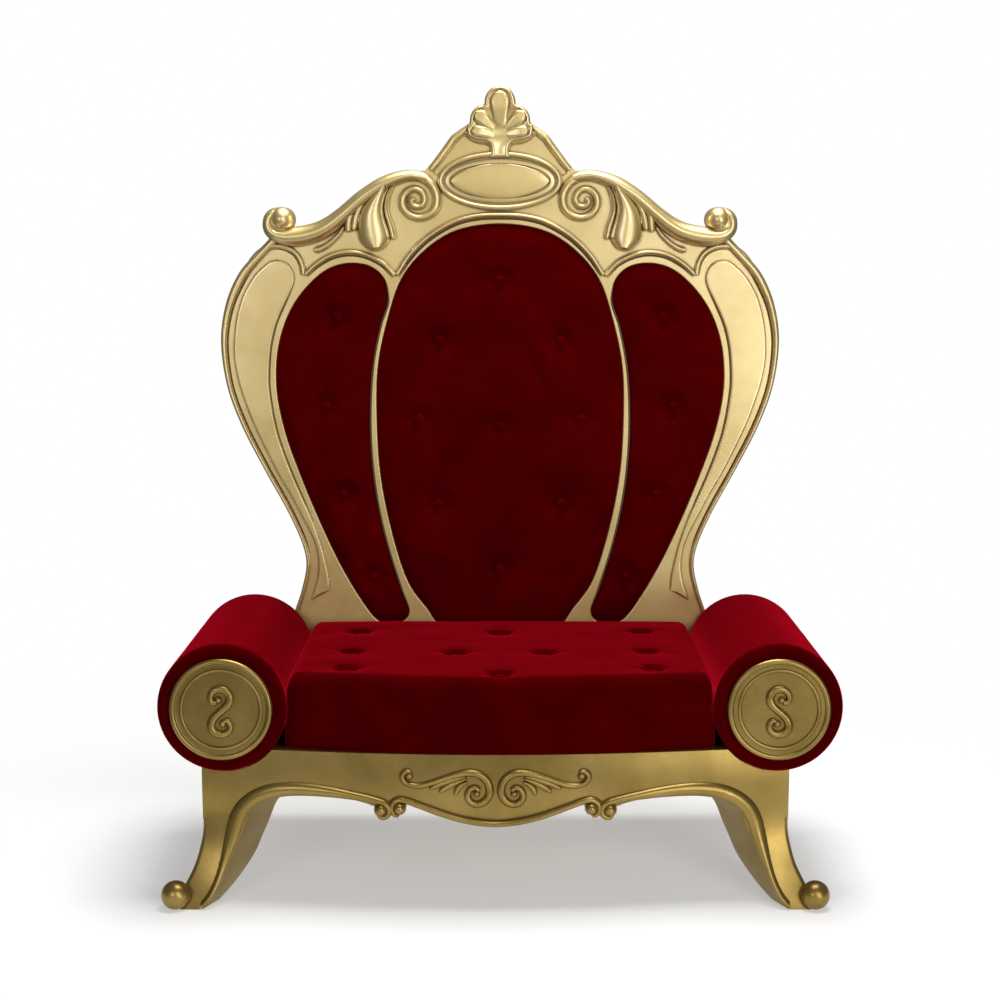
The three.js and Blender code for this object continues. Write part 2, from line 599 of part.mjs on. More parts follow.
// The whole front seen flat, pushed through the slab that the bowed apron is bent from.
function frontApron() {
  const half = [
    ...smooth(APRON_EDGE, 22), ...BASE_SIDE,
  ];
  const line = bothHalves([...half, [0, DECK_Z]]);
  const board = loft([atDepth(line, BACK_FACE / 2), atDepth(line, -100)], capXZ);
  const arc = Array.from({ length: 13 }, (_, i) => {
    const x = (BASE_HALF + 8) * (i / 6 - 1);
    return [x, bow(x)];
  });
  const plan = [...arc, ...arc.map(([x, y]) => [x, y + APRON_THICK]).reverse()];
  const bent = loft([atHeight(plan, 60), atHeight(plan, DECK_Z + 10)], capXY);
  return solidOf(board).intersect(solidOf(bent));
}

function deck() {
  const front = Array.from({ length: 9 }, (_, i) => {
    const x = BASE_HALF * (i / 4 - 1);
    return [x, bow(x) + 8];
  });
  const plan = [...front, [BASE_HALF, BASE_BACK], [-BASE_HALF, BASE_BACK]];
  return loft([atHeight(plan, DECK_Z - DECK_THICK), atHeight(plan, DECK_Z)], capXY);
}

// The side and back aprons: boards with a low arch between the legs.
const ARCH = { foot: 190, crown: 236, run: 90 };
function board(from, to, place, cap) {
  const rise = [[0, ARCH.foot], [0.25, 0.62], [0.6, 0.93], [1, 1]];
  const under = rise.map(([part, up], i) => [
    from + ARCH.run * part, i === 0 ? ARCH.foot : ARCH.foot + (ARCH.crown - ARCH.foot) * up,
  ]);
  const other = under.map(([along, z]) => [from + to - along, z]).reverse();
  const line = [[from, DECK_Z], ...under, ...other, [to, DECK_Z]];
  return loft(place.map((across) => line.map(([along, z]) => across(along, z))), cap);
}
const SIDE_THICK = 26;
const sideApron = () => board(90, BASE_BACK - 60, [BASE_HALF - SIDE_THICK, BASE_HALF].map(
  (x) => (along, z) => [x, along, z],
), capYZ);
const backApron = () => board(-540, 540, [BASE_BACK - SIDE_THICK, BASE_BACK].map(
  (y) => (along, z) => [along, y, z],
), capXZ);

// The block along each side that a bolster's cradle is hollowed from.
function cradleBlock() {
  const plan = [[440, 30], [BASE_HALF - 1, 30], [BASE_HALF - 1, BASE_BACK - 1], [440, BASE_BACK - 1]];
  return loft([atHeight(plan, 254), atHeight(plan, DECK_Z - 1)], fanCap);
}

function baseFrame() {
  const ridge = (stations, rise, count, sides = 3, sink = 6) => strand(stations, {
    rise, sink, face: baseFace, count, sides,
  });
  const ball = new THREE.SphereGeometry(FOOT_BALL.r, 10, 7)
    .rotateX(Math.PI / 2).translate(FOOT_BALL.x, bow(BASE_HALF) - KICK + 4, FOOT_BALL.r);
  const pieces = [
    deck(), backApron(), ...pair(cradleBlock()), ...pair(sideApron()),
    ...pair(cornerLeg()), ...pair(backLeg()), ...pair(ball),
    ...pair(ridge(LEG_BEAD, 13, 17, 3, 14)),
    ridge(acrossMiddle(MIDDLE_BEAD), 12, 14, 3, 20),
    ...CURLS.flatMap(([x, z, r]) => pair(dome(x, z, r, 18, baseFace(x, z), APRON_THICK - 4, 8))),
    ...pair(ridge(WING, 12, 18)),
    ...WING_EYES.flatMap(([x, z, r]) => pair(dome(x, z, r, 13, baseFace(x, z), 8, 8))),
    ...FEATHERS.flatMap((line) => pair(ridge(line, 10, 3))),
  ];
  // The cradle's flats, not its corners, clear the bolster.
  const cradleSides = 40;
  const cradleR = (BOLSTER_R + GAP) / Math.cos(Math.PI / cradleSides);
  const cradle = new THREE.CylinderGeometry(cradleR, cradleR, BACK_FACE + 100, cradleSides)
    .translate(BOLSTER_X, (BACK_FACE - 100) / 2, BOLSTER_Z);
  const whole = frontApron().add(join(pieces)).translate([BASE_SHIFT, 0, 0]);
  return whole.subtract(join(pair(cradle)));
}

// ---- buttons ------------------------------------------------------------------------------
const BACK_BUTTONS = {
  centre: [[0, 1240], [136, 1106], [183, 930], [0, 913], [138.5, 737], [0, 586]],
  side: [[366, 1158], [390, 958], [353, 759], [286.5, 568]],
};
// [x, y] on the seat.
const SEAT_BUTTONS = [[0, 428], [310, 444], [93, 214], [308, 226], [0, 15], [309, 65]];
function button() {
  const profile = [[0, 0], [BUTTON_R, 0], [8.5, 4.5], [0, 6.8]];
  return new THREE.LatheGeometry(profile.map(([r, y]) => v2(r, y)), 8);
}
const bothSides = (spots) => spots.flatMap(([x, w]) => (x === 0 ? [[0, w]] : [[-x, w], [x, w]]));

// ---- the throne ---------------------------------------------------------------------------
const throne = new THREE.Group();
throne.name = 'throne';
const put = (name, shape, look) => throne.add(meshOf(name, shape, look));

put('base_frame', baseFrame(), GOLD);
put('back_frame', backFrame(), GOLD);
put('back_pad_centre', backPad(centreLines), VELVET);
put('back_pad_right', backPad(sideLines), VELVET);
put('back_pad_left', backPad(mirroredLines(sideLines)), VELVET);
put('seat_cushion', seatCushion(), VELVET);
for (const [word, side] of [['left', -1], ['right', 1]]) {
  put(`arm_bolster_${word}`, armBolster(side), VELVET);
  put(`arm_disc_${word}`, armDisc(side), GOLD);
}
bothSides([...BACK_BUTTONS.centre, ...BACK_BUTTONS.side]).forEach(([x, z], i) => {
  const place = button().rotateX(Math.PI).translate(x, BACK_FACE + PAD.crown - GAP, z);
  put(`back_button_${i + 1}`, place, VELVET);
});
bothSides(SEAT_BUTTONS).forEach(([x, y], i) => {
  const place = button().rotateX(Math.PI / 2).translate(x, y, SEAT_TOP_Z + GAP);
  put(`seat_button_${i + 1}`, place, VELVET);
});
throne.position.y = -GROUP_SHIFT;

export default throne;
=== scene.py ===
"""A wide ceremonial throne: gilt carving, crimson velvet, loose cushion and bolster arms.

Shapes are worked out in millimetres on the maker's grid: X from the middle, Y from the bolsters'
front ends towards the back, Z up from the floor. to_row() moves them into the frame, in metres.
"""
import math

import bpy
import numpy as np
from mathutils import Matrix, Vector
from mathutils.geometry import tessellate_polygon


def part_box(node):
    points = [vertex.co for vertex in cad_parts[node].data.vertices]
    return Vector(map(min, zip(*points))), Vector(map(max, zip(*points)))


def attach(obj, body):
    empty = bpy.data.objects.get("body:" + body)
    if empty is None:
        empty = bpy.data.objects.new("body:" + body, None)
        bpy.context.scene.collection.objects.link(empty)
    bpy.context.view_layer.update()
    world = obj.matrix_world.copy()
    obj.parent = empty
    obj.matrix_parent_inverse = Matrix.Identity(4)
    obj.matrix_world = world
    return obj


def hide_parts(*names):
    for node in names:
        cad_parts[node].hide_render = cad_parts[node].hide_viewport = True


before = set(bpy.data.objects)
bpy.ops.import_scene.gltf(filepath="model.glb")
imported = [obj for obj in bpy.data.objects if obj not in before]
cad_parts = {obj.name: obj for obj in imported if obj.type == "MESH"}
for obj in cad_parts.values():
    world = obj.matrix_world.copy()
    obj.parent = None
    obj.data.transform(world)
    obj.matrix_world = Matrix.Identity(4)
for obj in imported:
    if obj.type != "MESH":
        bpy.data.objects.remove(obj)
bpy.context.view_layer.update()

# ---- sizes taken from the frame (mm) ----
MM = 1000.0
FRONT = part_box("arm_bolster_left")[0][1]             # the bolsters' front plane, in the row frame


def node_mm(node):
    """A CAD node's lowest and highest corners on the maker's grid."""
    low, high = (np.array(corner, float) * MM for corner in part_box(node))
    shift = np.array([0.0, FRONT * MM, 0.0])
    return low - shift, high - shift


DECK_Z = node_mm("base_frame")[1][2]
BACK_REAR = node_mm("back_frame")[1][1]
BACK_THICK = 56.0
BACK_FACE = BACK_REAR - BACK_THICK  # flat ground of the carved back
BOLSTER_LOW, BOLSTER_HIGH = node_mm("arm_bolster_right")
BOLSTER_R = (BOLSTER_HIGH[2] - BOLSTER_LOW[2]) / 2
BOLSTER_X = (BOLSTER_HIGH[0] + BOLSTER_LOW[0]) / 2
BOLSTER_Z = (BOLSTER_HIGH[2] + BOLSTER_LOW[2]) / 2
BOLSTER_END = BOLSTER_HIGH[1]
CUSHION_LOW, CUSHION_HIGH = node_mm("seat_cushion")
GAP = 0.3


# ---- mesh building ----
def to_row(verts):
    """Maker's grid in mm to the row frame in metres."""
    out = np.asarray(verts, float) / MM
    out[:, 1] += FRONT
    return out


def grid_faces(rows, cols):
    """Quads of a rows x cols lattice of vertices whose rows are closed rings."""
    r = np.arange(rows - 1)[:, None]
    c = np.arange(cols)[None, :]
    n = (c + 1) % cols
    quads = np.stack([r * cols + c, r * cols + n, (r + 1) * cols + n, (r + 1) * cols + c], -1)
    return [tuple(q) for q in quads.reshape(-1, 4)]


def loft(rings):
    """Skins a row of equal closed rings; the end caps are single faces."""
    rings = np.asarray(rings, float)
    rows, cols = rings.shape[:2]
    faces = grid_faces(rows, cols)
    faces.append(tuple(range(cols))[::-1])
    faces.append(tuple(range((rows - 1) * cols, rows * cols)))
    return outward(rings.reshape(-1, 3), faces)


def outward(verts, faces):
    """Turns a closed shell's faces over if they point in."""
    total = 0.0
    for count in {len(face) for face in faces}:
        corners = verts[np.array([face for face in faces if len(face) == count])]
        fan = np.cross(corners[:, 1:-1], corners[:, 2:])
        total += np.einsum("ij,ikj->", corners[:, 0], fan)
    return (verts, faces) if total > 0 else (verts, [face[::-1] for face in faces])


def mirrored(part):
    verts, faces = part
    return verts * [-1, 1, 1], [f[::-1] for f in faces]


def pair(part):
    return [part, mirrored(part)]


def placed(name, data, location=(0, 0, 0), turn=(0, 0, 0)):
    """Puts an object with this data into the scene."""
    thing = bpy.data.objects.new(name, data)
    thing.location, thing.rotation_euler = location, turn
    bpy.context.scene.collection.objects.link(thing)
    return thing


def make(name, parts, material, replaces=(), sharp=38.0):
    """Joins parts into one smooth-shaded object that rides on the throne."""
    verts, faces, start = [], [], 0
    for part_verts, part_faces in parts:
        verts.append(part_verts)
        faces += [tuple(int(i) + start for i in f) for f in part_faces]
        start += len(part_verts)
    mesh = bpy.data.meshes.new(name)
    mesh.from_pydata(to_row(np.concatenate(verts)).tolist(), [], faces)
    mesh.validate()
    mesh.polygons.foreach_set("use_smooth", [True] * len(mesh.polygons))
    mesh.set_sharp_from_angle(angle=math.radians(sharp))
    mesh.materials.append(material)
    piece = placed(name, mesh)
    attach(piece, "root")
    if replaces:
        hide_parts(*replaces)
    return piece


# ---- curves ----
def curve(points, step, closed=False):
    """A centripetal Catmull-Rom curve through points, sampled about every step mm."""
    p = np.array(points, float)
    if closed:
        p = np.vstack([p[-1], p, p[0], p[1]])
    else:
        p = np.vstack([2 * p[0] - p[1], p, 2 * p[-1] - p[-2]])
    out = []
    for i in range(1, len(p) - 2):
        p0, p1, p2, p3 = p[i - 1:i + 3]
        d0, d1, d2 = (max(np.linalg.norm(b - a) ** 0.5, 1e-4) for a, b in ((p0, p1), (p1, p2), (p2, p3)))
        m1 = ((p1 - p0) / d0 - (p2 - p0) / (d0 + d1) + (p2 - p1) / d1) * d1
        m2 = ((p2 - p1) / d1 - (p3 - p1) / (d1 + d2) + (p3 - p2) / d2) * d1
        count = max(int(np.linalg.norm((p2 - p1)[:2]) / step), 2)
        t = (np.arange(count) / count)[:, None]
        out.append(
            p1 * (2 * t**3 - 3 * t**2 + 1) + m1 * (t**3 - 2 * t**2 + t)
            + p2 * (3 * t**2 - 2 * t**3) + m2 * (t**3 - t**2)
        )
    if not closed:
        out.append(p[-2][None])
    return np.concatenate(out)


def unit(v):
    return v / np.maximum(np.linalg.norm(v, axis=-1, keepdims=True), 1e-9)


def distance_along(line):
    return np.concatenate([[0], np.cumsum(np.linalg.norm(np.diff(line, axis=0), axis=1))])


def beside(line, distance):
    """Runs beside an open line, to the right of its way."""
    line = np.array(line, float)
    way = unit(np.gradient(line[:, :2], axis=0))
    out = line.copy()
    out[:, 0] += way[:, 1] * distance
    out[:, 1] -= way[:, 0] * distance
    return out


def offset(line, distance):
    """Moves a closed line outwards; distance is one number or one for each point."""
    x, z = line[:, 0], line[:, 1]
    turn = np.sign(np.sum(x * np.roll(z, -1) - np.roll(x, -1) * z))
    way = unit(np.roll(line, -1, 0)[:, :2] - np.roll(line, 1, 0)[:, :2])
    normal = np.stack([way[:, 1], -way[:, 0]], -1) * turn
    return line[:, :2] + normal * np.reshape(distance, (-1, 1))


def with_width(line, half):
    return [(x, z, half) for x, z in np.asarray(line)[:, :2]]


def both_halves(half):
    """A closed line from its right half, which starts and ends on the middle."""
    half = np.asarray(half, float)
    other = half[::-1] * [-1, 1]
    return np.vstack([half, other[1:-1]])


def across_middle(half):
    return [(-p[0], *p[1:]) for p in half[:0:-1]] + list(half)


def at_depth(line, y):
    line = np.asarray(line, float)
    return np.stack([line[:, 0], np.full(len(line), float(y)), line[:, 1]], -1)


# ---- carving ----
def rounded(rise):
    """A half-round ridge: its height from the distance to its edge."""
    def height(d, half):
        part = np.clip(d / np.maximum(half, 1e-6), 0, 1)
        return rise * np.sqrt(1 - (1 - part) ** 2)
    return height


def plateau(rise, shoulder):
    """A flat-topped panel with a rounded edge."""
    def height(d, half):
        return rise * np.sin(np.clip(d / shoulder, 0, 1) * math.pi / 2)
    return height


END_REACH = 1.2  # a ridge's rounded end is this many of its half widths long
END_CLIMB = 1.5  # and reaches its full height sooner than its full width


def strand(stations, profile, face, sink=6.0, step=3.0, across=14, taper=(1.0, 1.0)):
    """A carved ridge along stations [x, z, half width, height] on a face that looks to the front.

    The height is a share of the profile's, and is 1 where it is left out. Each end is rounded over
    taper times END_REACH half widths, or cut off where taper is 0.
    """
    line = curve([(*p, 1.0)[:4] for p in stations], step)
    run = distance_along(line[:, :2])
    way = unit(np.gradient(line[:, :2], axis=0))
    full = np.ones(len(line))
    for far, soft, half in ((run, taper[0], line[0, 2]), (run[-1] - run, taper[1], line[-1, 2])):
        if soft:
            part = np.clip(far / max(soft * half * END_REACH, 1e-6), 0, 1)
            full = np.minimum(full, np.sqrt(1 - (1 - part) ** 2))
    half = np.maximum(line[:, 2] * full, 0.05)[:, None]
    u = -np.cos(np.linspace(0, math.pi, across + 1))[None, :]
    x = line[:, :1] + way[:, 1:] * half * u
    z = line[:, 1:2] - way[:, :1] * half * u
    high = profile(half * (1 - np.abs(u)), half) * np.minimum(full[:, None] * END_CLIMB, 1) * line[:, 3:]
    ground = face(x, z)
    top = np.stack([x, ground - high, z], -1)
    root = np.stack([x, ground + sink, z], -1)
    rings = np.concatenate([top, root[:, -1:], root[:, :1]], axis=1)
    return loft(rings)


def carver(parts, face, deep):
    """Gives an add() that puts a ridge, by default with its mirror image, among the parts."""
    def add(stations, rise, sink=deep, both=True, **more):
        part = strand(stations, rounded(rise), face, sink=sink, **more)
        parts.extend(pair(part) if both else [part])
    return add


def dome(x, z, radius, rise, y, sink=8.0, steps=40):
    """A flattened half ball that looks to the front."""
    turns = np.linspace(0, math.pi / 2, 12)
    r = np.concatenate([[radius], radius * np.cos(turns)])
    out = np.concatenate([[-sink], rise * np.sin(turns)])
    r[-1] = 0.05
    angle = np.linspace(0, 2 * math.pi, steps, endpoint=False)
    rings = [np.stack([x + a * np.cos(angle), np.full(steps, y - b), z + a * np.sin(angle)], -1)
             for a, b in zip(r, out)]
    return loft(rings)


def lathe(profile, steps):
    """Turns a profile of (radius, height) about an axis: returns rings round the origin's Z."""
    angle = np.linspace(0, 2 * math.pi, steps, endpoint=False)
    rings = [np.stack([max(r, 0.02) * np.cos(angle), max(r, 0.02) * np.sin(angle), np.full(steps, h)], -1)
             for r, h in profile]
    return loft(rings)


def faced(part, x, y, z):
    """Stands a lathed part on a front face: its axis then points to the front."""
    verts, faces = part
    return outward(verts[:, [0, 2, 1]] * [1, -1, 1] + [x, y, z], faces)


def ease(inset, low, high, count=6):
    """Steps of a rounded shoulder that climbs from low to high over the given inset range."""
    near, far = inset
    turn = np.linspace(0, math.pi / 2, count)
    return [(near + (far - near) * (1 - math.cos(t)), low + (high - low) * math.sin(t)) for t in turn]


def flat(y):
    """A flat face on the plane y, to carve on."""
    return lambda x, z: np.full(np.shape(x), y)


# ---- the back frame's lines, [x, z] or [x, z, half width], right half ----
FRAME_SIDE = [
    (517, 1330), (545, 1301), (582, 1259), (609, 1204), (624, 1140), (626, 1085), (613, 998),
    (583, 914), (532, 812), (478, 711), (447, 636), (441, 596), (453, 536), (474, 470), (480, 400),
]
PALMETTE_EDGE = [
    (0, 1668), (17, 1663), (29, 1651), (34, 1637), (35, 1628), (48, 1623), (60, 1613), (66, 1600),
    (68, 1586), (76, 1580), (86, 1571), (97, 1565), (108, 1557), (118, 1545),
]
SHOULDER = [(118, 1545), (134, 1522), (151, 1500), (168, 1482)]
RAIL_EDGE = [
    (168, 1482), (205, 1480), (253, 1464), (303, 1431), (350, 1392), (403, 1358), (455, 1345), (500, 1345),
]
BEAD_HALF = 6.5
CENTRE_BEAD = [(0, 1385), (52, 1382.5), (99, 1371), (158, 1338), (202, 1296), (232, 1250)]
SIDE_BEAD = [(234, 1249), (262, 1279), (298, 1297), (334, 1303), (375, 1296), (410, 1276), (437, 1251)]
RIM_HALF = [(540, 4.6), (800, 5), (1000, 6), (1100, 7), (1180, 8.5), (1230, 10)]  # height, half width
KIDNEY_BEAD = [
    (439, 1250, 6.5), (443, 1277, 6.5), (456, 1300, 6.5), (478, 1313, 6.5), (500, 1316, 6.5),
    (520, 1312, 7), (540, 1298, 8), (560, 1274, 8),
]
KIDNEY_INNER = [  # the raised panel's edge on the velvet's side, from its top
    (498, 1286), (481, 1282), (467, 1270), (460, 1255), (459, 1240), (463, 1225), (470, 1210),
    (480, 1190), (492, 1165), (502, 1140), (509, 1115), (514, 1090), (518, 1050), (519, 1010),
    (516, 975), (507, 920), (497, 880), (474, 815), (447, 750), (425, 700), (405, 640), (393, 590),
    (388, 560), (388, 538),
]
KIDNEY_OUTER = [  # and on the rim's side, from its pointed foot
    (431, 514), (424, 538), (416, 565), (413, 600), (419, 640), (433, 675), (447, 702), (475, 757),
    (500, 800), (525, 850), (550, 903), (573, 962), (589, 1015), (597, 1060), (598, 1090), (592, 1150),
    (577, 1203), (560, 1235), (545, 1256), (528, 1272), (513, 1283), (498, 1286),
]
RAIL = [  # x, z, half width, height
    (158, 1463, 9, 0.60), (178, 1469, 12, 0.70), (205, 1471, 13, 0.85), (253, 1456, 16), (303, 1425, 17),
    (350, 1385, 18), (378, 1363, 20), (403, 1349, 21.5), (428, 1341, 22.5), (455, 1336.5, 22.5),
    (480, 1336, 19), (500, 1341, 16, 0.98), (513, 1352, 14, 0.93), (517, 1367, 12, 0.88),
    (513, 1381, 11, 0.8), (503, 1388, 10, 0.7), (492, 1390, 9, 0.6),
]
CURL_BODY = (495.5, 1368, 33.5)  # x, z, radius of the rail's rolled end
CURL = (486.5, 1375, 27.5)  # and of the ball inside it
LEAF = [
    (256, 1452, 7), (267, 1432, 14), (278, 1410, 21), (284, 1388, 29), (284, 1365, 34), (281, 1345, 36),
    (278, 1328, 34), (275, 1304, 27),
]
LEAF_BED = [(262, 1444, 12), (279, 1416, 26), (289, 1386, 42), (289, 1356, 50)]
FRONDS = [  # two on each side of the leaf
    [(240, 1448, 4), (250, 1425, 5.5), (253.5, 1400, 6), (250, 1380, 6.5), (243, 1358, 7.5), (237, 1330, 8)],
    [(248, 1446, 4), (259, 1422, 6), (264, 1400, 7), (262, 1378, 8), (255, 1355, 8.5), (248, 1331, 8.5)],
    [(270, 1448, 4), (292, 1428, 7.5), (309, 1406, 9), (320, 1382, 9.5), (326, 1349, 9)],
    [(284, 1447, 4), (307, 1425, 7), (325, 1402, 8.5), (335, 1378, 10), (338, 1346, 10)],
]
TENDRIL = [
    (347, 1360, 3.5), (358, 1343, 5.5), (374, 1327, 6.5), (392, 1314, 7.5), (408, 1308, 8), (417, 1309, 7),
]
PETALS = [  # x, z, half width, height: they fade into the heart
    [(0, 1578, 13, 0.05), (0, 1600, 18, 0.6), (0, 1622, 23, 1), (0, 1642, 25.5, 1), (0, 1658, 22, 1)],
    [(14, 1573, 10, 0.05), (26, 1584, 14, 0.6), (38, 1595, 17, 1), (49, 1604, 17.5, 1), (57, 1610, 13, 1)],
    [(12, 1561, 10, 0.05), (28, 1564, 13, 0.6), (44, 1567, 15, 1), (56, 1568, 15, 1), (65, 1568, 11, 1)],
]
PALMETTE_FOOT = [
    (84, 1566, 4), (74, 1566, 5), (64, 1554, 5), (48, 1548, 5), (30, 1546, 5), (19, 1540, 5),
    (14, 1530, 5), (18, 1519, 5),
]
PALMETTE_NECK = [(74, 1574), (70, 1557), (52, 1549), (34, 1546), (24, 1541), (20, 1530), (22, 1510)]
SHOULDER_RIM = [
    (66, 1584, 3), (77, 1573, 6), (90, 1562, 8), (101, 1554, 8), (113, 1538, 8), (127, 1519, 8),
    (142, 1499, 8), (156, 1482, 7),
]
OVAL = (1459.5, 139, 66)  # centre height, half width, half height
SHIELD = (112, 40)  # half width and half height of the pad inside it
PLATE_HIGH = 12.0  # the palmette's plate over the ground
VOLUTE = [  # x, z, half width, height
    (176, 1467, 11, 0.9), (160, 1459, 11, 1.0), (147, 1444, 10.5), (140, 1424, 10.5), (143, 1402, 10.5),
    (157, 1386, 10), (180, 1379, 9.5), (202, 1386, 9.5), (215.5, 1403, 9.5), (215.5, 1423, 9.5),
    (205, 1437.5, 9), (188, 1442, 8.5), (173, 1434, 8.5), (167.5, 1419, 8.5, 1.05), (173, 1407, 8.5, 1.1),
    (184, 1403, 8, 1.15), (194, 1408, 8, 1.2), (196, 1417, 7.5, 1.25), (189, 1423, 6.5, 1.25),
]
CENTRE_WELL = [  # edge of the velvet
    (0, 1365), (103, 1348), (173, 1302), (221, 1242), (253, 1150), (274, 1050),
    (278, 950), (270, 800), (240, 650), (206, 550), (168, 497), (128, 450),
]
SIDE_WELL = [
    (328, 1278), (285, 1268), (258, 1240), (251, 1195), (268, 1140), (286, 1050), (293, 950), (291, 850),
    (280, 750), (259, 650), (229, 550), (208, 490), (212, 474), (228, 463), (262, 460), (284, 472),
    (321, 522), (365, 600), (411, 700), (451, 800), (485, 900), (503, 1000), (497, 1095), (469, 1174),
    (424, 1234), (378, 1268),
]
SHOULDER_PANEL = [
    (150, 1480), (120, 1516), (92, 1551), (84, 1559), (75, 1559), (66, 1551), (50, 1543), (30, 1540),
    (21, 1535), (19, 1526), (23, 1517), (45, 1514), (85, 1504), (114, 1488), (130, 1474), (141, 1471),
]
WELL_DEPTH, WELL_BEVEL = 26.0, 2.0
WELL_MARGIN = 2.5  # from the velvet's edge to the flat ground
WELL_EDGE = 6.0  # how far the velvet's edge lies behind the ground
EDGE_INSET = 5
REAR_BEVEL = 5
PANEL_DEPTH, PANEL_DRAFT = 5, 2  # the sunk panels beside the palmette
FIELD_DEPTH, FIELD_DRAFT, FIELD_INSET = 4, 5, 8  # the fields let into the rear, behind the pads


def well_lines(stations):
    """The velvet's edge and the ground's, just outside it."""
    velvet = curve(stations, 6.0, closed=True)
    return np.stack([velvet, offset(velvet, WELL_MARGIN)])


SIDE_LINES = well_lines(SIDE_WELL)
WELLS = {
    "centre": well_lines(CENTRE_WELL + [(-x, z) for x, z in CENTRE_WELL[:0:-1]]),
    "right": SIDE_LINES,
    "left": SIDE_LINES * [-1, 1],
}


def back_outline():
    """The board's edge, which lies a little inside the rounded rim."""
    side = curve(beside(FRAME_SIDE, EDGE_INSET), 8)
    corner_x, corner_z = FRAME_SIDE[-1][0] - EDGE_INSET, DECK_Z + GAP
    return both_halves(np.vstack([
        curve(PALMETTE_EDGE, 6)[:-1], curve(SHOULDER, 8)[:-1], curve(RAIL_EDGE, 8)[:-6],
        side, [(corner_x, corner_z), (0, corner_z)],
    ]))


def face_with_holes(outer, holes, y):
    """A flat face on the plane y, cut round the holes."""
    loops = [at_depth(line, y) for line in (outer, *holes)]
    triangles = tessellate_polygon([[Vector((p[0], p[2], 0)) for p in loop] for loop in loops])
    return np.concatenate(loops), [tuple(t) for t in triangles]


def strip(lines):
    """Skins between closed lines given as (line, y)."""
    rings = [at_depth(line, y) for line, y in lines]
    return np.concatenate(rings), grid_faces(len(rings), len(rings[0]))


def pocket(lines):
    """A strip closed by a floor at its last line."""
    verts, faces = strip(lines)
    return verts, faces + [tuple(range(len(verts) - len(lines[-1][0]), len(verts)))]


def well_wall(velvet, rim):
    """The rounded edge of the ground round the velvet, the pocket's side and its floor."""
    halfway = velvet + (rim - velvet) * 0.5
    return pocket([(rim, BACK_FACE), (halfway, BACK_FACE + 0.2 * WELL_BEVEL),
                   (velvet, BACK_FACE + WELL_BEVEL), (velvet, BACK_FACE + WELL_DEPTH)])


def sunk_panel(line, y, depth, draft):
    """A shallow panel let into a flat face; depth is negative on a face that looks to the back."""
    inner = offset(line, -draft)
    return pocket([(line, y), (inner, y + depth), (inner, y + depth)])


def back_ground():
    outer = back_outline()
    panel = curve(SHOULDER_PANEL, 5, closed=True)
    panels = [panel, panel * [-1, 1]]
    wells = WELLS.values()
    rear = BACK_FACE + BACK_THICK
    rear_outer = offset(outer, -REAR_BEVEL)
    fields = [offset(velvet, -FIELD_INSET) for velvet, _ in wells]
    side = strip([(outer, BACK_FACE), (outer, rear - REAR_BEVEL),
                  (offset(outer, -0.3 * REAR_BEVEL), rear - 0.3 * REAR_BEVEL), (rear_outer, rear)])
    return [
        face_with_holes(outer, [rim for _, rim in wells] + panels, BACK_FACE),
        *[well_wall(*well) for well in wells],
        *[sunk_panel(line, BACK_FACE, PANEL_DEPTH, PANEL_DRAFT) for line in panels],
        side,
        face_with_holes(rear_outer, fields, rear),
        *[sunk_panel(line, rear, -FIELD_DEPTH, FIELD_DRAFT) for line in fields],
    ]


def oval(wide, tall, power=1.0):
    """An oval about the cartouche's middle; a power over 1 draws its two ends out to points."""
    turn = np.linspace(0, 2 * math.pi, 120, endpoint=False)
    up = np.sin(turn)
    return np.stack([wide * np.cos(turn), OVAL[0] + tall * np.sign(up) * np.abs(up) ** power], -1)


def cartouche():
    """An oval with a rolled rim and a narrow fillet, and a pointed pad in it: (inset, height)."""
    mid, wide, tall = OVAL
    across, high = 7, 12
    roll = [(0, -6), (0, 0)]
    roll += [(across * (1 - math.cos(t)), high * math.sin(t) ** 0.8)
             for t in np.linspace(0.15, math.pi - 0.45, 14)]
    roll += [(14.2, 0.5), (17.0, 0.5), (18, 3), (20, 3.6), (26.5, 3.6), (27.3, 1.0), (45, 1.0)]
    ring = loft([at_depth(oval(wide - inset, tall - inset), BACK_FACE - up) for inset, up in roll])
    wide, tall = SHIELD
    line = oval(wide, tall, 1.35)
    swell = [(0, 0.5), (0, 1.5)] + ease((0.2, 5), 1.5, 8, 8) + [(12, 8.6), (24, 9)]
    pad = loft([
        at_depth(line * [1 - inset / wide, 1 - inset / tall] + [0, mid * inset / tall], BACK_FACE - up)
        for inset, up in swell
    ])
    return [ring, pad]


def palmette():
    """A plate with a rolled rim that follows the lobes, and the petals inside it."""
    right = curve(PALMETTE_EDGE[:10], 3)
    top, foot = PALMETTE_EDGE[0], (0, PALMETTE_NECK[-1][1])
    line = both_halves(np.vstack([[top], right[1:-1], curve(PALMETTE_NECK, 3), [foot]]))
    steps = [(0, 8 - BACK_THICK)] + ease((0, 4.5), 4, 15) + [(6.6, 15.2), (7.6, 12.5), (8.6, PLATE_HIGH)]
    parts = [loft([at_depth(offset(line, -inset), BACK_FACE - high) for inset, high in steps])]
    for stations in PETALS:
        part = strand(stations, plateau(6, 9), flat(BACK_FACE - PLATE_HIGH), 3, 2.0, 26, (1.0, 1.2))
        parts += pair(part) if stations[0][0] else [part]
    return parts


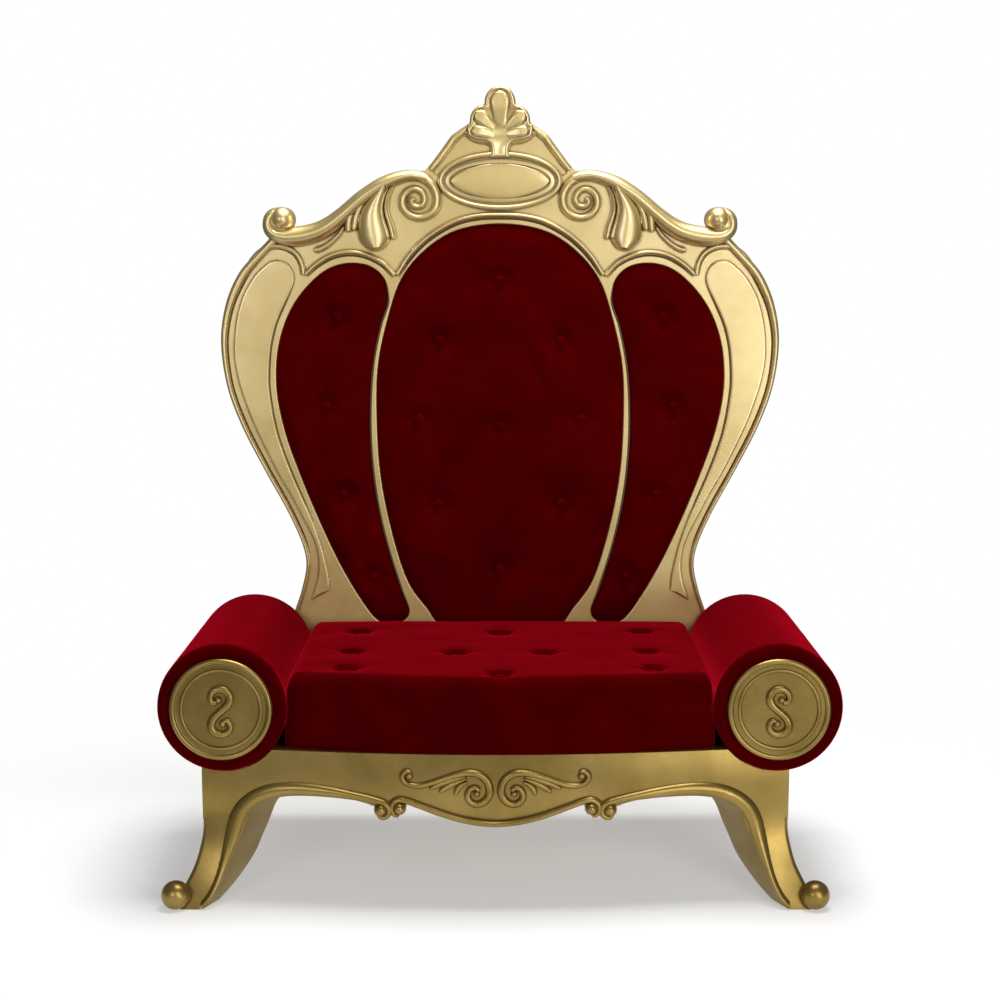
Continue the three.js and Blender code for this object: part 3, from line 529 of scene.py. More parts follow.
def kidney_panel():
    """The kidney-shaped panel; its rounded edge narrows where the foot leaves it little room."""
    tips = KIDNEY_INNER[-1], KIDNEY_OUTER[0]
    cut = np.linspace(*tips, 11)[1:-1]
    line = np.vstack([curve(KIDNEY_INNER, 5), cut, curve(KIDNEY_OUTER, 5)[:-1]])
    apart = np.linalg.norm(line[:, None] - line[None], axis=-1)
    ahead = np.arange(len(line))
    along = np.abs(ahead[:, None] - ahead[None])
    neighbours = np.minimum(along, len(line) - along) < 9
    apart[neighbours] = np.inf
    room = np.minimum(apart.min(axis=1), 60) * 0.36
    for tip in tips:
        room = np.minimum(room, 0.2 + 0.3 * np.linalg.norm(line - tip, axis=1))
    inward = offset(line, -1) - line
    steps = [(0, -5), (0, 0)] + ease((0.2, 4), 1.5, 7) + [(7, 7)]
    return loft([at_depth(line + inward * np.minimum(inset, room)[:, None], BACK_FACE - high)
                 for inset, high in steps])


def rim():
    """The rounded rim of the outline, broadest at the shoulder."""
    line = curve([(497, 1352)] + FRAME_SIDE + [(480, DECK_Z + 6)], 6)
    half = np.interp(line[:, 1], *zip(*RIM_HALF))
    return np.column_stack([beside(line, half), half])


SHADOW_LINE_FADE = 50.0  # mm over which a painted shadow line thins out at its ends


def painted(line, half, away=0.0):
    """A thin painted shadow line, dark brown on the flat ground beside a carved edge, that fades at its ends."""
    path = beside(curve(np.asarray(line, float)[:, :2], 4), away)
    run = distance_along(path)
    fade = np.clip(np.minimum(run, run[-1] - run) / SHADOW_LINE_FADE, 0.15, 1)
    return strand(np.column_stack([path, half * fade]), rounded(0.5), flat(BACK_FACE), 2.5, 4.0, 4, (0, 0))


def back_carving():
    """All relief on the board; what runs past its edge is nearly as thick as the board itself.

    Each of those ends at a depth of its own, so that no two rear faces coincide.
    """
    parts = []
    add = carver(parts, flat(BACK_FACE), 6.0)
    add(RAIL, 28, BACK_THICK - 7, across=24, taper=(0.5, 1.0))
    parts.extend(pair(dome(*CURL_BODY, 24, BACK_FACE, BACK_THICK - 4, 56)))
    parts.extend(pair(dome(*CURL, 33, BACK_FACE, BACK_THICK - 10, 56)))
    add(rim(), 11, BACK_THICK - 12, step=6.0, across=18, taper=(1.0, 0))
    add(SHOULDER_RIM, 9, BACK_THICK - 14)
    add(PALMETTE_FOOT, 7)
    add(across_middle(with_width(CENTRE_BEAD, BEAD_HALF)), 12, both=False)
    add(with_width(SIDE_BEAD, BEAD_HALF), 12)
    add(KIDNEY_BEAD, 9)
    parts.extend(pair(kidney_panel()))
    add(LEAF_BED, 15, across=24, taper=(1.0, 0.35))
    add(LEAF, 28, across=24)
    for line in FRONDS:
        add(line, 19, step=2.0)
    add(TENDRIL, 11)
    add(VOLUTE, 16, step=2.0, taper=(0.6, 1.0))
    return parts + cartouche() + palmette()


def painted_shadow_lines():
    """Painted shadow: dark lines drawn where the beads and panels meet the ground on the velvet's side, where
    their edges would cast shade.
    """
    lines = [painted(across_middle(CENTRE_BEAD), 2.6, 8.2)]
    middle = rim()
    shown = (middle[:, 1] < 1285) & (middle[:, 1] > 620)
    rim_line = beside(middle[:, :2], middle[:, 2] + 1.5)[shown]
    for line, half, away in (
        (SIDE_BEAD, 2.3, 7.9), (KIDNEY_BEAD[:6], 1.4, 7.4), (KIDNEY_INNER[5:20], 2.0, 0.3),
        (rim_line, 1.8, 0), (SIDE_WELL[2:12], 2.2, 1.6),
    ):
        lines += pair(painted(line, half, away))
    return lines


# ---- upholstery ----
CENTRE_BUTTONS = [(0, 1240), (136, 1106), (183, 930), (0, 913), (138.5, 737), (0, 586)]
SIDE_BUTTONS = [(366, 1158), (390, 958), (353, 759), (286.5, 568)]
SEAT_BUTTONS = [(0, 428), (310, 444), (93, 214), (308, 226), (0, 15), (309, 65)]
BUTTON_R = 11.0


def both_sides(spots):
    return [spot for x, w in spots for spot in ([(0, w)] if x == 0 else [(-x, w), (x, w)])]


def ripples(u, v, seed, scale, waves=14):
    """Small smooth unevenness of stuffed cloth: a few fixed waves of mixed directions."""
    rng = np.random.default_rng(seed)
    total = np.zeros(np.shape(u))
    for _ in range(waves):
        angle, phase = rng.uniform(0, math.pi), rng.uniform(0, 2 * math.pi)
        length = scale * rng.uniform(0.6, 1.8)
        total += np.sin((u * math.cos(angle) + v * math.sin(angle)) * 2 * math.pi / length + phase)
    return total / waves


PAD_TUFT = (11.0, 34.0)  # a button pull's depth and reach
CUSHION_TUFT = (17.0, 24.0)
TUFT_FLOOR = 8.0  # radius of its flat bottom, under the button


def tufts(u, v, spots, depth, reach):
    """How far buttons pull the cloth in: steep round cups with soft creases running out."""
    pull = np.zeros(np.shape(u))
    for index, (a, b) in enumerate(spots):
        far = np.hypot(u - a, v - b)
        angle = np.arctan2(v - b, u - a)
        crease = 1 + 0.08 * np.cos(6 * angle + index) * np.clip(far / reach, 0, 1)
        cup = np.clip((far * crease - TUFT_FLOOR) / reach, 0, 1)
        cup = 1 - cup**2 * (3 - 2 * cup)
        wide = np.exp(-((far * crease / (2.1 * reach)) ** 2) * 1.6)
        pull = np.maximum(pull, depth * (0.82 * cup + 0.18 * wide))
    return pull


def span_at(line, z):
    """Where a closed line crosses the level z: its lowest and highest x."""
    a, b = line, np.roll(line, -1, 0)
    hit = ((a[:, 1] - z) * (b[:, 1] - z) <= 0) & (a[:, 1] != b[:, 1])
    x = a[hit, 0] + (b[hit, 0] - a[hit, 0]) * (z - a[hit, 1]) / (b[hit, 1] - a[hit, 1])
    return x.min(), x.max()


PAD_CROWN = 9.0  # how far a pad's middle stands before the ground
PAD_EDGE = WELL_EDGE + 1.5  # and its edge behind it
PAD_SHOULDER = 40.0
PAD_BUTTON_Y = BACK_FACE - 5.3  # the buttons' flat backs


def back_pad(velvet, spots, seed):
    """A pad skinned from bottom to top inside its well: level rows, rounded edges, button pulls."""
    rows, cols = 230, 90
    low, high = velvet[:, 1].min() + 2 * GAP, velvet[:, 1].max() - 2 * GAP
    levels = low + (high - low) * (1 - np.cos(math.pi * np.linspace(0, 1, rows))) / 2
    t = (1 - np.cos(math.pi * np.linspace(0, 1, cols))) / 2
    ends = np.array([span_at(velvet, z) for z in levels])
    x = ends[:, :1] + (ends[:, 1:] - ends[:, :1]) * t[None, :]
    z = np.repeat(levels[:, None], cols, 1)
    edge = nearest(np.stack([x, z], -1).reshape(-1, 2), velvet).reshape(x.shape)
    full = np.sqrt(1 - (1 - np.clip(edge / PAD_SHOULDER, 0, 1)) ** 2)
    out = (PAD_CROWN + PAD_EDGE) * full - PAD_EDGE
    out += (1.1 * ripples(x, z, seed, 150.0) - tufts(x, z, spots, *PAD_TUFT)) * full
    front = np.stack([x, BACK_FACE - out, z], -1)
    rear = front[:, [-1, 0]]
    rear[..., 1] = BACK_FACE + WELL_DEPTH - GAP
    return loft(np.concatenate([front, rear], 1))


def nearest(points, line):
    """Distance from each point to a closed line."""
    a, b = line, np.roll(line, -1, 0)
    best = np.full(len(points), 1e9)
    for start, end in zip(a, b):
        way = end - start
        part = np.clip(((points - start) @ way) / max(way @ way, 1e-9), 0, 1)
        gap = points - start - part[:, None] * way
        best = np.minimum(best, np.hypot(gap[:, 0], gap[:, 1]))
    return best


BUTTON_RIM, BUTTON_HIGH = 1.6, 6.8


def button():
    """A cloth-covered button with a soft edge."""
    turns = np.linspace(0, math.pi / 2, 9)
    profile = [(0, 0), (BUTTON_R - 1.5, 0), (BUTTON_R - 0.3, 0.8)]
    profile += [(BUTTON_R * math.cos(t) ** 0.8, BUTTON_RIM + (BUTTON_HIGH - BUTTON_RIM) * math.sin(t))
                for t in turns[:-1]]
    return lathe(profile + [(0, BUTTON_HIGH)], 32)


CUSHION_HALF = CUSHION_HIGH[0]
CUSHION_BACK = CUSHION_HIGH[1]
CUSHION_TOP = CUSHION_HIGH[2] - CUSHION_LOW[2]
CUSHION_FRONT, CUSHION_BOW = 12.0, 55.0
CUSHION_SIDE, CUSHION_DROP = 22.0, 26.0  # the top falls by the drop over this width at each side
CUSHION_SWELL = 4.0
CUSHION_SPREAD = 7.0  # how far its sides may swell under the bolsters' round


def cushion_front(x):
    return CUSHION_FRONT - CUSHION_BOW * np.cos(math.pi * x / (2 * CUSHION_HALF))


def corner(y, z, radius, start, count=14):
    """A clockwise quarter turn about (y, z), from the angle start."""
    return [(y + radius * math.cos(a), z + radius * math.sin(a))
            for a in np.linspace(start, start - math.pi / 2, count)]


def cushion_ring(x):
    """The cushion's section at x, from the bottom of its front round to the bottom of its back."""
    inside = min((CUSHION_HALF - abs(x)) / CUSHION_SIDE, 1.0)
    full = math.sqrt(max(1 - (1 - inside) ** 2, 0))
    end = 1 - full
    low, high = 4 * end, CUSHION_TOP - CUSHION_DROP * end
    front, back = cushion_front(x) + 9 * end, CUSHION_BACK - 14 * end
    front_r, back_r, bottom = 30 - 8 * end, 26 - 6 * end, 5.0
    rise = high - front_r - low - bottom
    ring = corner(front + bottom, low + bottom, bottom, -math.pi / 2)
    ring += [(front - 3 * full * math.sin(math.pi * t), low + bottom + rise * t)
             for t in np.linspace(0.1, 0.9, 9)]
    ring += corner(front + front_r, high - front_r, front_r, math.pi)
    start, reach = front + front_r, back - back_r - front - front_r
    ring += [(start + reach * t, high) for t in np.linspace(0.01, 0.99, 90)]
    ring += corner(back - back_r, high - back_r, back_r, math.pi / 2)
    ring += [(back, low + 18 + (high - back_r - low - 18) * t) for t in np.linspace(0.9, 0.1, 5)]
    ring += corner(back - bottom, low + bottom, bottom, 0)
    return [(x, y, z) for y, z in ring]


def seat_cushion():
    """Skinned from side to side: rolled front, crowned top, soft bottom edges, button pulls."""
    even = np.linspace(-1, 1, 150)
    rings = np.array([cushion_ring(x) for x in CUSHION_HALF * (np.sin(even * math.pi / 2) + even) / 2])
    x, y, z = rings[..., 0], rings[..., 1], rings[..., 2]
    topness = np.clip((z - CUSHION_TOP * 0.55) / (CUSHION_TOP * 0.4), 0, 1) ** 2
    inside = np.clip((CUSHION_HALF - np.abs(x)) / 90, 0, 1)
    swell = CUSHION_SWELL * np.sin(math.pi * np.clip((y + 40) / 630, 0, 1)) ** 0.5 * inside
    z = z + topness * (swell - tufts(x, y, both_sides(SEAT_BUTTONS), *CUSHION_TUFT))
    z = z + topness * (1.3 * ripples(x * 0.25, y, 5, 120.0) + 0.9 * ripples(x, y, 6, 190.0))
    frontness = (1 - topness) * np.clip((60 - (y - cushion_front(x))) / 60, 0, 1)
    y = y + frontness * 1.6 * ripples(x, z * 2.2, 7, 260.0)
    bolster_side = BOLSTER_X - np.sqrt(np.clip(BOLSTER_R**2 - (z + DECK_Z - BOLSTER_Z) ** 2, 0, None))
    spread = np.clip(bolster_side - CUSHION_HALF - 1.5, 0, CUSHION_SPREAD)
    x = x * (1 + spread * np.clip((CUSHION_TOP - z) / 60, 0, 1) / CUSHION_HALF)
    return loft(np.stack([x, y, z + DECK_Z + GAP], -1))


FRONT_ROLL, REAR_ROLL = 14.0, 8.0  # radii of a bolster's rounded ends


def bolster(side):
    """A tight velvet cylinder with a soft front roll round the disc."""
    profile = [(0, 1.0), (DISC_R - 6, 1.0), (DISC_R + 1, 0.6)]
    profile += [(BOLSTER_R - FRONT_ROLL * (1 - math.sin(t)), FRONT_ROLL * (1 - math.cos(t)))
                for t in np.linspace(0, math.pi / 2, 12)]
    profile += [(BOLSTER_R, y) for y in np.linspace(22, BOLSTER_END - 12, 50)]
    profile += [(BOLSTER_R - REAR_ROLL * (1 - math.cos(t)), BOLSTER_END - REAR_ROLL * (1 - math.sin(t)))
                for t in np.linspace(0.15, math.pi / 2, 6)]
    verts, faces = lathe(profile + [(BOLSTER_R * 0.6, BOLSTER_END), (0, BOLSTER_END)], 128)
    radius = np.hypot(verts[:, 0], verts[:, 1])
    angle = np.arctan2(verts[:, 1], verts[:, 0])
    body = np.clip((radius - DISC_R - 8) / 14, 0, 1)
    sag = body * (0.5 * ripples(angle * 60, verts[:, 2], 11, 130.0) - 0.4)
    verts[:, :2] *= ((radius + sag) / np.maximum(radius, 1e-6))[:, None]
    return outward(verts[:, [0, 2, 1]] + [side * BOLSTER_X, 0, BOLSTER_Z], faces)


# ---- arm discs ----
DISC_R = (node_mm("arm_disc_right")[1][0] - node_mm("arm_disc_right")[0][0]) / 2
DISC_STEP = 7.0  # height of the flat ring between the rim and the bead
DISC_FIELD = DISC_STEP - 0.8
SCROLL_HALF = [
    (0, 0, 8), (-8, 7, 8), (-15.5, 16, 8.5), (-19, 27, 8.5), (-15.5, 38.5, 8.5), (-5, 45.5, 8),
    (7, 45.5, 7.5), (16.5, 38.5, 7), (19.5, 28, 6.5), (15, 19, 6), (6, 18, 5.5),
]
SCROLL_EYE = (4, 24, 7.5)
SCROLL_DROP = 4


def roll(radius, high, wide, tall, turn=math.pi, count=9):
    """A raised ring in a lathe's profile, from its outer side inwards."""
    return [(radius + wide * math.cos(t), high + tall * math.sin(t)) for t in np.linspace(0, turn, count)]


def arm_disc(side):
    """A turned disc with a rounded rim and a bead, and an S-scroll on its sunk field."""
    profile = [(0, 0), (DISC_R - 0.5, 0), (DISC_R, 0.8)] + roll(97, 6, 6, 6.5, math.pi * 0.9, 14)
    profile += [(90.4, DISC_STEP + 0.8), (90, DISC_STEP + 0.4)] + roll(79.5, DISC_STEP + 0.4, 3.6, 3.0)
    parts = [faced(lathe(profile + [(r, DISC_FIELD) for r in (75.5, 40, 0)], 128), 0, 0, 0)]
    line = [(-x, -z, h) for x, z, h in SCROLL_HALF[:0:-1]] + SCROLL_HALF
    line = [(side * x, z - SCROLL_DROP, h) for x, z, h in line]
    parts.append(strand(line, rounded(9), flat(-DISC_FIELD), sink=3, step=1.5, taper=(0.6, 0.6)))
    x, z, r = SCROLL_EYE
    for end in (1, -1):
        parts.append(dome(side * end * x, end * z - SCROLL_DROP, r, 9, -DISC_FIELD, 3))
    return [(verts + [side * BOLSTER_X, -GAP, BOLSTER_Z], faces) for verts, faces in parts]


# ---- the base ----
BASE_HALF, BASE_BACK = 592.0, 656.0
BOW_SIDE, BOW_RISE = 25.0, 65.0
KICK, KICK_FROM = 60.0, 190.0  # how far the feet stand forward, and from what height
APRON_THICK, APRON_SWELL, DECK_THICK = 30.0, 4.0, 22.0
BOARD_THICK, BACK_SPAN, CHAMFER = 26.0, 540.0, 3.0  # of the side and back boards
ARCH_FOOT, ARCH_CROWN, ARCH_RUN = 190.0, 236.0, 90.0  # of their lower edges
STEP_IN = 0.6  # between the faces of joined boards, so that none coincide
BACK_LEG_DEPTH, BACK_LEG_TAPER = 70.0, 0.08 / 11
BLOCK_INNER, BLOCK_LOW, BLOCK_FRONT = 440.0, 254.0, 30.0  # the solid blocks under the bolsters
CRADLE_R = BOLSTER_R + GAP
BASE_SHIFT = -9.0  # the base sits a little left of the seat's middle
APRON_EDGE = [
    (0, 170), (45, 174), (78, 182), (110, 193), (142, 206), (170, 217), (192, 215), (214, 208),
    (236, 208), (262, 216), (298, 224), (340, 229), (406, 228), (442, 222), (474, 211),
    (497, 188), (512, 172), (530, 168), (BASE_HALF, 168),
]
LEG_BEAD = [  # x, z, half width, height
    (235, 198, 5), (226, 189.5, 6.5), (215, 195, 7.5), (212, 207, 8), (221, 218, 8), (240, 224, 8.5),
    (264, 229, 9), (290, 233, 10), (330, 238, 12), (379, 241, 14), (415, 240, 15), (450, 234, 16),
    (482, 220, 16), (507, 198, 16), (521, 172, 16), (529, 145, 15), (537, 118, 12.5), (545, 92, 9.5),
    (553, 66, 8), (563, 42, 7), (575, 22, 6.5), (589, 8, 5),
]
MIDDLE_BEAD = [
    (0, 179, 7), (50, 184, 7), (85, 192, 7), (115, 202, 7.5), (150, 215, 7.5), (175, 224, 8),
    (192, 226, 8), (204, 219, 8), (207, 207, 7), (201, 196, 6), (190, 193, 5),
]
WING = [
    (166, 284, 4), (177, 285, 6), (185, 276, 6.5), (180, 263, 6.5), (166, 257, 6.5), (150, 256, 7),
    (130, 261, 7), (105, 270, 7), (80, 278, 7.5), (56, 283, 8), (36, 281, 8.5), (20, 271, 9), (12, 255, 9),
    (13, 238, 9), (23, 224, 8.5), (38, 219, 8), (51, 226, 8), (55, 240, 7.5), (49, 251, 7), (38, 253, 6.5),
    (31, 246, 6),
]
BOSSES = [  # x, z, radius, height, depth in the wood: the beads' curled ends and the wings' eyes
    (228, 204, 14, 18, 26), (191, 208, 13.44, 18, 26), (37, 241, 8, 12, 8), (171, 276, 9, 13, 8),
]
FEATHERS = [
    [(58, 276, 3), (78, 271, 6), (104, 262, 7), (132, 250, 5.5)],
    [(56, 272, 3), (74, 265, 6), (94, 255, 7.5), (113, 243, 6)],
    [(54, 265, 3), (68, 258, 6), (77, 247, 7), (79, 235, 6.5)],
]
LEG = [  # height, inner x, outer x
    (296, 500, 590), (210, 487, 590), (178, 499, 591), (142, 512, 592), (110, 526, 598),
    (79, 539, 607), (47, 556, 622), (22, 571, 634), (0, 588, 634),
]
LEG_DEPTH, LEG_SPLAY = 115.0, 47.0
FOOT_SLIM, SLIM_BELOW = 0.62, 90.0  # the leg thins to this share at the floor
LEG_FLARE, FLARE_FROM, FLARE_RUN = 45.0, 160.0, 90.0  # its inner side runs out into the apron
BACK_LEG = [  # height, inner x, outer x, run to the back
    (296, 530, 590, 0), (150, 532, 592, 0), (80, 540, 597, 12), (30, 553, 604, 34), (0, 560, 606, 44),
]
FOOT_BALL = (640, 29)


def bow(x):
    return BOW_SIDE - BOW_RISE * np.cos(math.pi * np.minimum(np.abs(x), BASE_HALF) / (2 * BASE_HALF))


def kick(z):
    return KICK * (np.maximum(KICK_FROM - z, 0) / KICK_FROM) ** 2.1


def base_face(x, z):
    return bow(x) - kick(z)


def cradle_z(x):
    """Height of the base under a bolster, or of the deck beside it; x is from the base's middle."""
    far = np.clip(CRADLE_R**2 - (np.abs(x + BASE_SHIFT) - BOLSTER_X) ** 2, 0, None)
    return np.minimum(DECK_Z, BOLSTER_Z - np.sqrt(far))


def cradle_start(side):
    """How far from the base's middle the deck meets the bolster on the left, -1, or right, 1."""
    return BOLSTER_X - math.sqrt(CRADLE_R**2 - (BOLSTER_Z - DECK_Z) ** 2) - side * BASE_SHIFT


def rounded_ring(corners, radius, z):
    """A level polygon of x, y points with its corners rounded, at the height z."""
    corners = np.array(corners, float)
    out = []
    for before, here, after in zip(np.roll(corners, 1, 0), corners, np.roll(corners, -1, 0)):
        reach = [min(radius, np.linalg.norm(p - here) * 0.45) for p in (before, after)]
        a = here + unit(before - here) * reach[0]
        b = here + unit(after - here) * reach[1]
        t = np.linspace(0, 1, 6)[:, None]
        out.append(a * (1 - t) ** 2 + 2 * here * t * (1 - t) + b * t**2)
    line = np.concatenate(out)
    return np.column_stack([line, np.full(len(line), float(z))])


def front_apron():
    """The bowed board, cut along its shaped lower edge and hollowed under the bolsters."""
    edge = curve(APRON_EDGE, 2.5)
    half = BASE_HALF - 1.5 * STEP_IN
    xs = np.concatenate([np.arange(-half, half, 2.5), [half]])
    low = np.interp(np.abs(xs), edge[:, 0], edge[:, 1])
    high = cradle_z(xs)
    rings = []
    t = np.linspace(0, 1, 12)
    for x, a, b in zip(xs, low, high):
        z = a + CHAMFER + (b - a - CHAMFER) * t
        swell = APRON_SWELL * np.sin(math.pi * np.clip((z - 190) / 128, 0, 1))
        front = [(x, bow(x) - s, v) for s, v in zip(swell, z)]
        rear = bow(x) + APRON_THICK
        rings.append([(x, bow(x) + CHAMFER, a)] + front + [(x, rear, b), (x, rear, a)])
    return loft(rings)


def corner_leg():
    """A front leg that kicks forwards and outwards; its inner side faces a little to the back."""
    rings = []
    for z, inner, outer in curve(LEG, 5):
        slim = FOOT_SLIM + (1 - FOOT_SLIM) * math.sin(math.pi / 2 * min(z / SLIM_BELOW, 1))
        flare = LEG_FLARE * min(max((z - FLARE_FROM) / FLARE_RUN, 0), 1) ** 2
        depth, width = LEG_DEPTH * slim, outer - inner
        front = [bow(x) - kick(z) for x in (inner, outer)]
        corners = [(inner, front[0]), (outer, front[1]), (outer, front[1] + min(width, depth)),
                   (inner - LEG_SPLAY * slim - flare, front[0] + depth)]
        rings.append(rounded_ring(corners, 9, z))
    return loft(rings)


def back_leg():
    rings = []
    for z, inner, outer, run in curve(BACK_LEG, 8):
        depth = BACK_LEG_DEPTH * (1 - BACK_LEG_TAPER * run)
        near, far = BASE_BACK + run - depth, BASE_BACK + run
        corners = [(inner, near), (outer, near), (outer, far), (inner, far)]
        rings.append(rounded_ring(corners, 6, z))
    return loft(rings)


def deck():
    """The flat board under the cushion, let into the front and back boards."""
    far, low, top = BASE_BACK - BOARD_THICK / 2, DECK_Z - DECK_THICK, DECK_Z - STEP_IN
    rings = []
    for x in np.linspace(-cradle_start(-1), cradle_start(1), 80):
        near = bow(x) + 8
        rings.append([(x, near, low), (x, far, low), (x, far, top), (x, near, top)])
    return loft(rings)


def cradle_side(side):
    """The block a bolster lies in, hollowed to its round, and the solid end behind it."""
    inner, outer, low, high = BLOCK_INNER, BASE_HALF - 2 * STEP_IN, BLOCK_LOW, DECK_Z - 3 * STEP_IN
    xs = np.linspace(cradle_start(side), outer, 24)
    round_top = [(x, float(cradle_z(side * x)) - 2 * STEP_IN) for x in xs[::-1]]
    hollow = [(inner, low), (outer, low)] + round_top + [(inner, high)]
    block = [(inner, low), (outer, low), (outer, high), (inner, high)]
    return [loft([[(x, y, z) for x, z in hollow] for y in (BLOCK_FRONT, BACK_FACE)]),
            loft([[(x, y, z) for x, z in block] for y in (BACK_FACE, BASE_BACK - 3 * STEP_IN)])]


def arch(along, start, end):
    """Lower edge of a side or back board between its legs."""
    near = np.minimum(along - start, end - along) / ARCH_RUN
    up = np.sin(np.clip(near, 0, 1) * math.pi / 2) ** 0.8
    return ARCH_FOOT + (ARCH_CROWN - ARCH_FOOT) * up


def side_apron(side):
    rings = []
    start, end = 90.0, BASE_BACK - 60
    inner, outer = BASE_HALF - BOARD_THICK, BASE_HALF - STEP_IN
    for y in np.linspace(start, end, 110):
        low = float(arch(y, start, end))
        rings.append([(inner, y, low), (outer - CHAMFER, y, low), (outer, y, low + CHAMFER),
                      (outer, y, float(cradle_z(side * outer)) - STEP_IN),
                      (inner, y, float(cradle_z(side * inner)) - STEP_IN)])
    return loft(rings)


def back_apron():
    near, far, top = BASE_BACK - BOARD_THICK, BASE_BACK - STEP_IN, DECK_Z - 2 * STEP_IN
    rings = []
    for x in np.linspace(-BACK_SPAN, BACK_SPAN, 160):
        low = float(arch(x, -BACK_SPAN, BACK_SPAN))
        rings.append([(x, near, low), (x, far - CHAMFER, low), (x, far, low + CHAMFER), (x, far, top),
                      (x, near, top)])
    return loft(rings)


def ball(x, y, z, radius):
    turns = np.linspace(0, math.pi, 24)
    verts, faces = lathe([(radius * math.sin(t), -radius * math.cos(t)) for t in turns], 40)
    return verts + [x, y, z], faces


def base_parts():
    parts = [front_apron(), deck(), back_apron()]
    parts += pair(corner_leg()) + pair(back_leg())
    for side in (-1, 1):
        boards = [side_apron(side), *cradle_side(side)]
        parts += boards if side > 0 else [mirrored(part) for part in boards]
    foot_x, foot_r = FOOT_BALL
    parts += pair(ball(foot_x, float(bow(BASE_HALF)) - KICK + 4, foot_r, foot_r))
    add = carver(parts, base_face, 8.0)
    add(LEG_BEAD, 13, 14, across=20)
    add(across_middle(MIDDLE_BEAD), 12, 20, both=False)
    add(WING, 12, step=2.0, taper=(1.0, 0.6))
    for line in FEATHERS:
        add(line, 10, step=2.0, taper=(1.0, 2.2))
    for x, z, r, rise, sink in BOSSES:
        parts.extend(pair(dome(x, z, r, rise, float(base_face(x, z)), sink)))
    return [(verts + [BASE_SHIFT, 0, 0], faces) for verts, faces in parts]


# ---- materials ----
def tree_of(name):
    material = bpy.data.materials.new(name)
    material.use_nodes = True
    tree = material.node_tree
    return material, tree, tree.nodes["Principled BSDF"]


def feed(socket, value):
    """Sets a socket to a number or a colour, or links it to another node's output."""
    if isinstance(value, bpy.types.NodeSocket):
        socket.id_data.links.new(value, socket)
    else:
        socket.default_value = (*value, 1) if isinstance(value, tuple) else value


def feed_all(node, **values):
    """Feeds a node's sockets by name, with _ for a space."""
    for key, value in values.items():
        feed(node.inputs[key.replace("_", " ")], value)


def add_node(tree, kind, **values):
    made = tree.nodes.new("ShaderNode" + kind)
    feed_all(made, **values)
    return made


def ramp(tree, source, stops):
    """Turns a value into a grey; stops are (value, grey)."""
    made = add_node(tree, "ValToRGB", Fac=source)
    band = made.color_ramp
    while len(band.elements) < len(stops):
        band.elements.new(0.5)
    for element, (place, grey) in zip(band.elements, stops):
        element.position = place
        element.color = (grey, grey, grey, 1)
    return made.outputs["Color"]


def mixed(tree, amount, a, b, blend="MIX"):
    made = tree.nodes.new("ShaderNodeMix")
    made.data_type = "RGBA"
    made.blend_type = blend
    for index, value in ((0, amount), (6, a), (7, b)):
        feed(made.inputs[index], value)
    return made.outputs[2]


def bumped(tree, shader, *layers):
    """Stacks bumps of (noise node, strength, distance in metres) on the shader's normal."""
    below = {}
    for noise, strength, distance in layers:
        bump = add_node(tree, "Bump", Height=noise.outputs["Fac"], Strength=strength, Distance=distance, **below)
        below = {"Normal": bump.outputs["Normal"]}
    feed_all(shader, **below)


# brown of the glaze, which also serves as painted shade in the gilt's hollows
GLAZE_AND_SHADE = (0.095, 0.047, 0.011)


def gilt(name, bright, deep, coat, satin):
    """Satin champagne gold over carved wood; its hollows are darkened towards brown, partly glaze and partly
    painted shade found by ambient occlusion.
    """
    material, tree, shader = tree_of(name)
    place = add_node(tree, "TexCoord").outputs["Object"]
    cloud = add_node(tree, "TexNoise", Vector=place, Scale=9.0, Detail=4.0, Roughness=0.55)
    fleck = add_node(tree, "TexNoise", Vector=place, Scale=160.0, Detail=3.0, Roughness=0.6)
    worn = ramp(tree, cloud.outputs["Fac"], [(0.36, 0.0), (0.68, 1.0)])
    leaf = mixed(tree, worn, bright, deep)
    # painted shade: ambient occlusion finds the creases and hollows where shade falls, and darkens them towards
    # the glaze brown with less metal
    hollow = add_node(tree, "AmbientOcclusion", Distance=0.006)
    hollow.samples = 12
    hollow.only_local = True
    sunk = ramp(tree, hollow.outputs["AO"], [(0.36, 1.0), (0.64, 0.35), (0.88, 0.0)])
    grains = ramp(tree, fleck.outputs["Fac"], [(0.35, 0.0), (0.7, 1.0)])
    shade_and_speckle = mixed(tree, 0.3, sunk, grains, "SOFT_LIGHT")
    metal = add_node(tree, "MapRange", Value=shade_and_speckle, To_Min=0.88, To_Max=0.1)
    rough = add_node(tree, "MapRange", Value=fleck.outputs["Fac"], To_Min=satin, To_Max=satin + 0.14)
    feed_all(shader, Base_Color=mixed(tree, shade_and_speckle, leaf, GLAZE_AND_SHADE), Metallic=metal.outputs["Result"],
             Roughness=rough.outputs["Result"], Coat_Weight=coat, Coat_IOR=1.9, Coat_Roughness=0.26)
    bumped(tree, shader, (fleck, 0.08, 0.0006), (cloud, 0.2, 0.004))
    return material


def velvet(name, deep, bright):
    """Crimson velvet: dark pile that catches light at a glancing angle."""
    material, tree, shader = tree_of(name)
    place = add_node(tree, "TexCoord").outputs["Object"]
    nap = add_node(tree, "TexNoise", Vector=place, Scale=7.0, Detail=5.0, Roughness=0.6, Distortion=0.8)
    pile = add_node(tree, "TexNoise", Vector=place, Scale=1400.0, Detail=2.0)
    brushed = ramp(tree, nap.outputs["Fac"], [(0.36, 0.0), (0.64, 1.0)])
    feed_all(shader, Base_Color=mixed(tree, brushed, deep, bright), Roughness=0.9, Specular_IOR_Level=0.0,
             Sheen_Weight=1.0, Sheen_Roughness=0.36, Sheen_Tint=(0.72, 0.006, 0.024))
    bumped(tree, shader, (nap, 0.3, 0.004), (pile, 0.2, 0.0005))
    return material
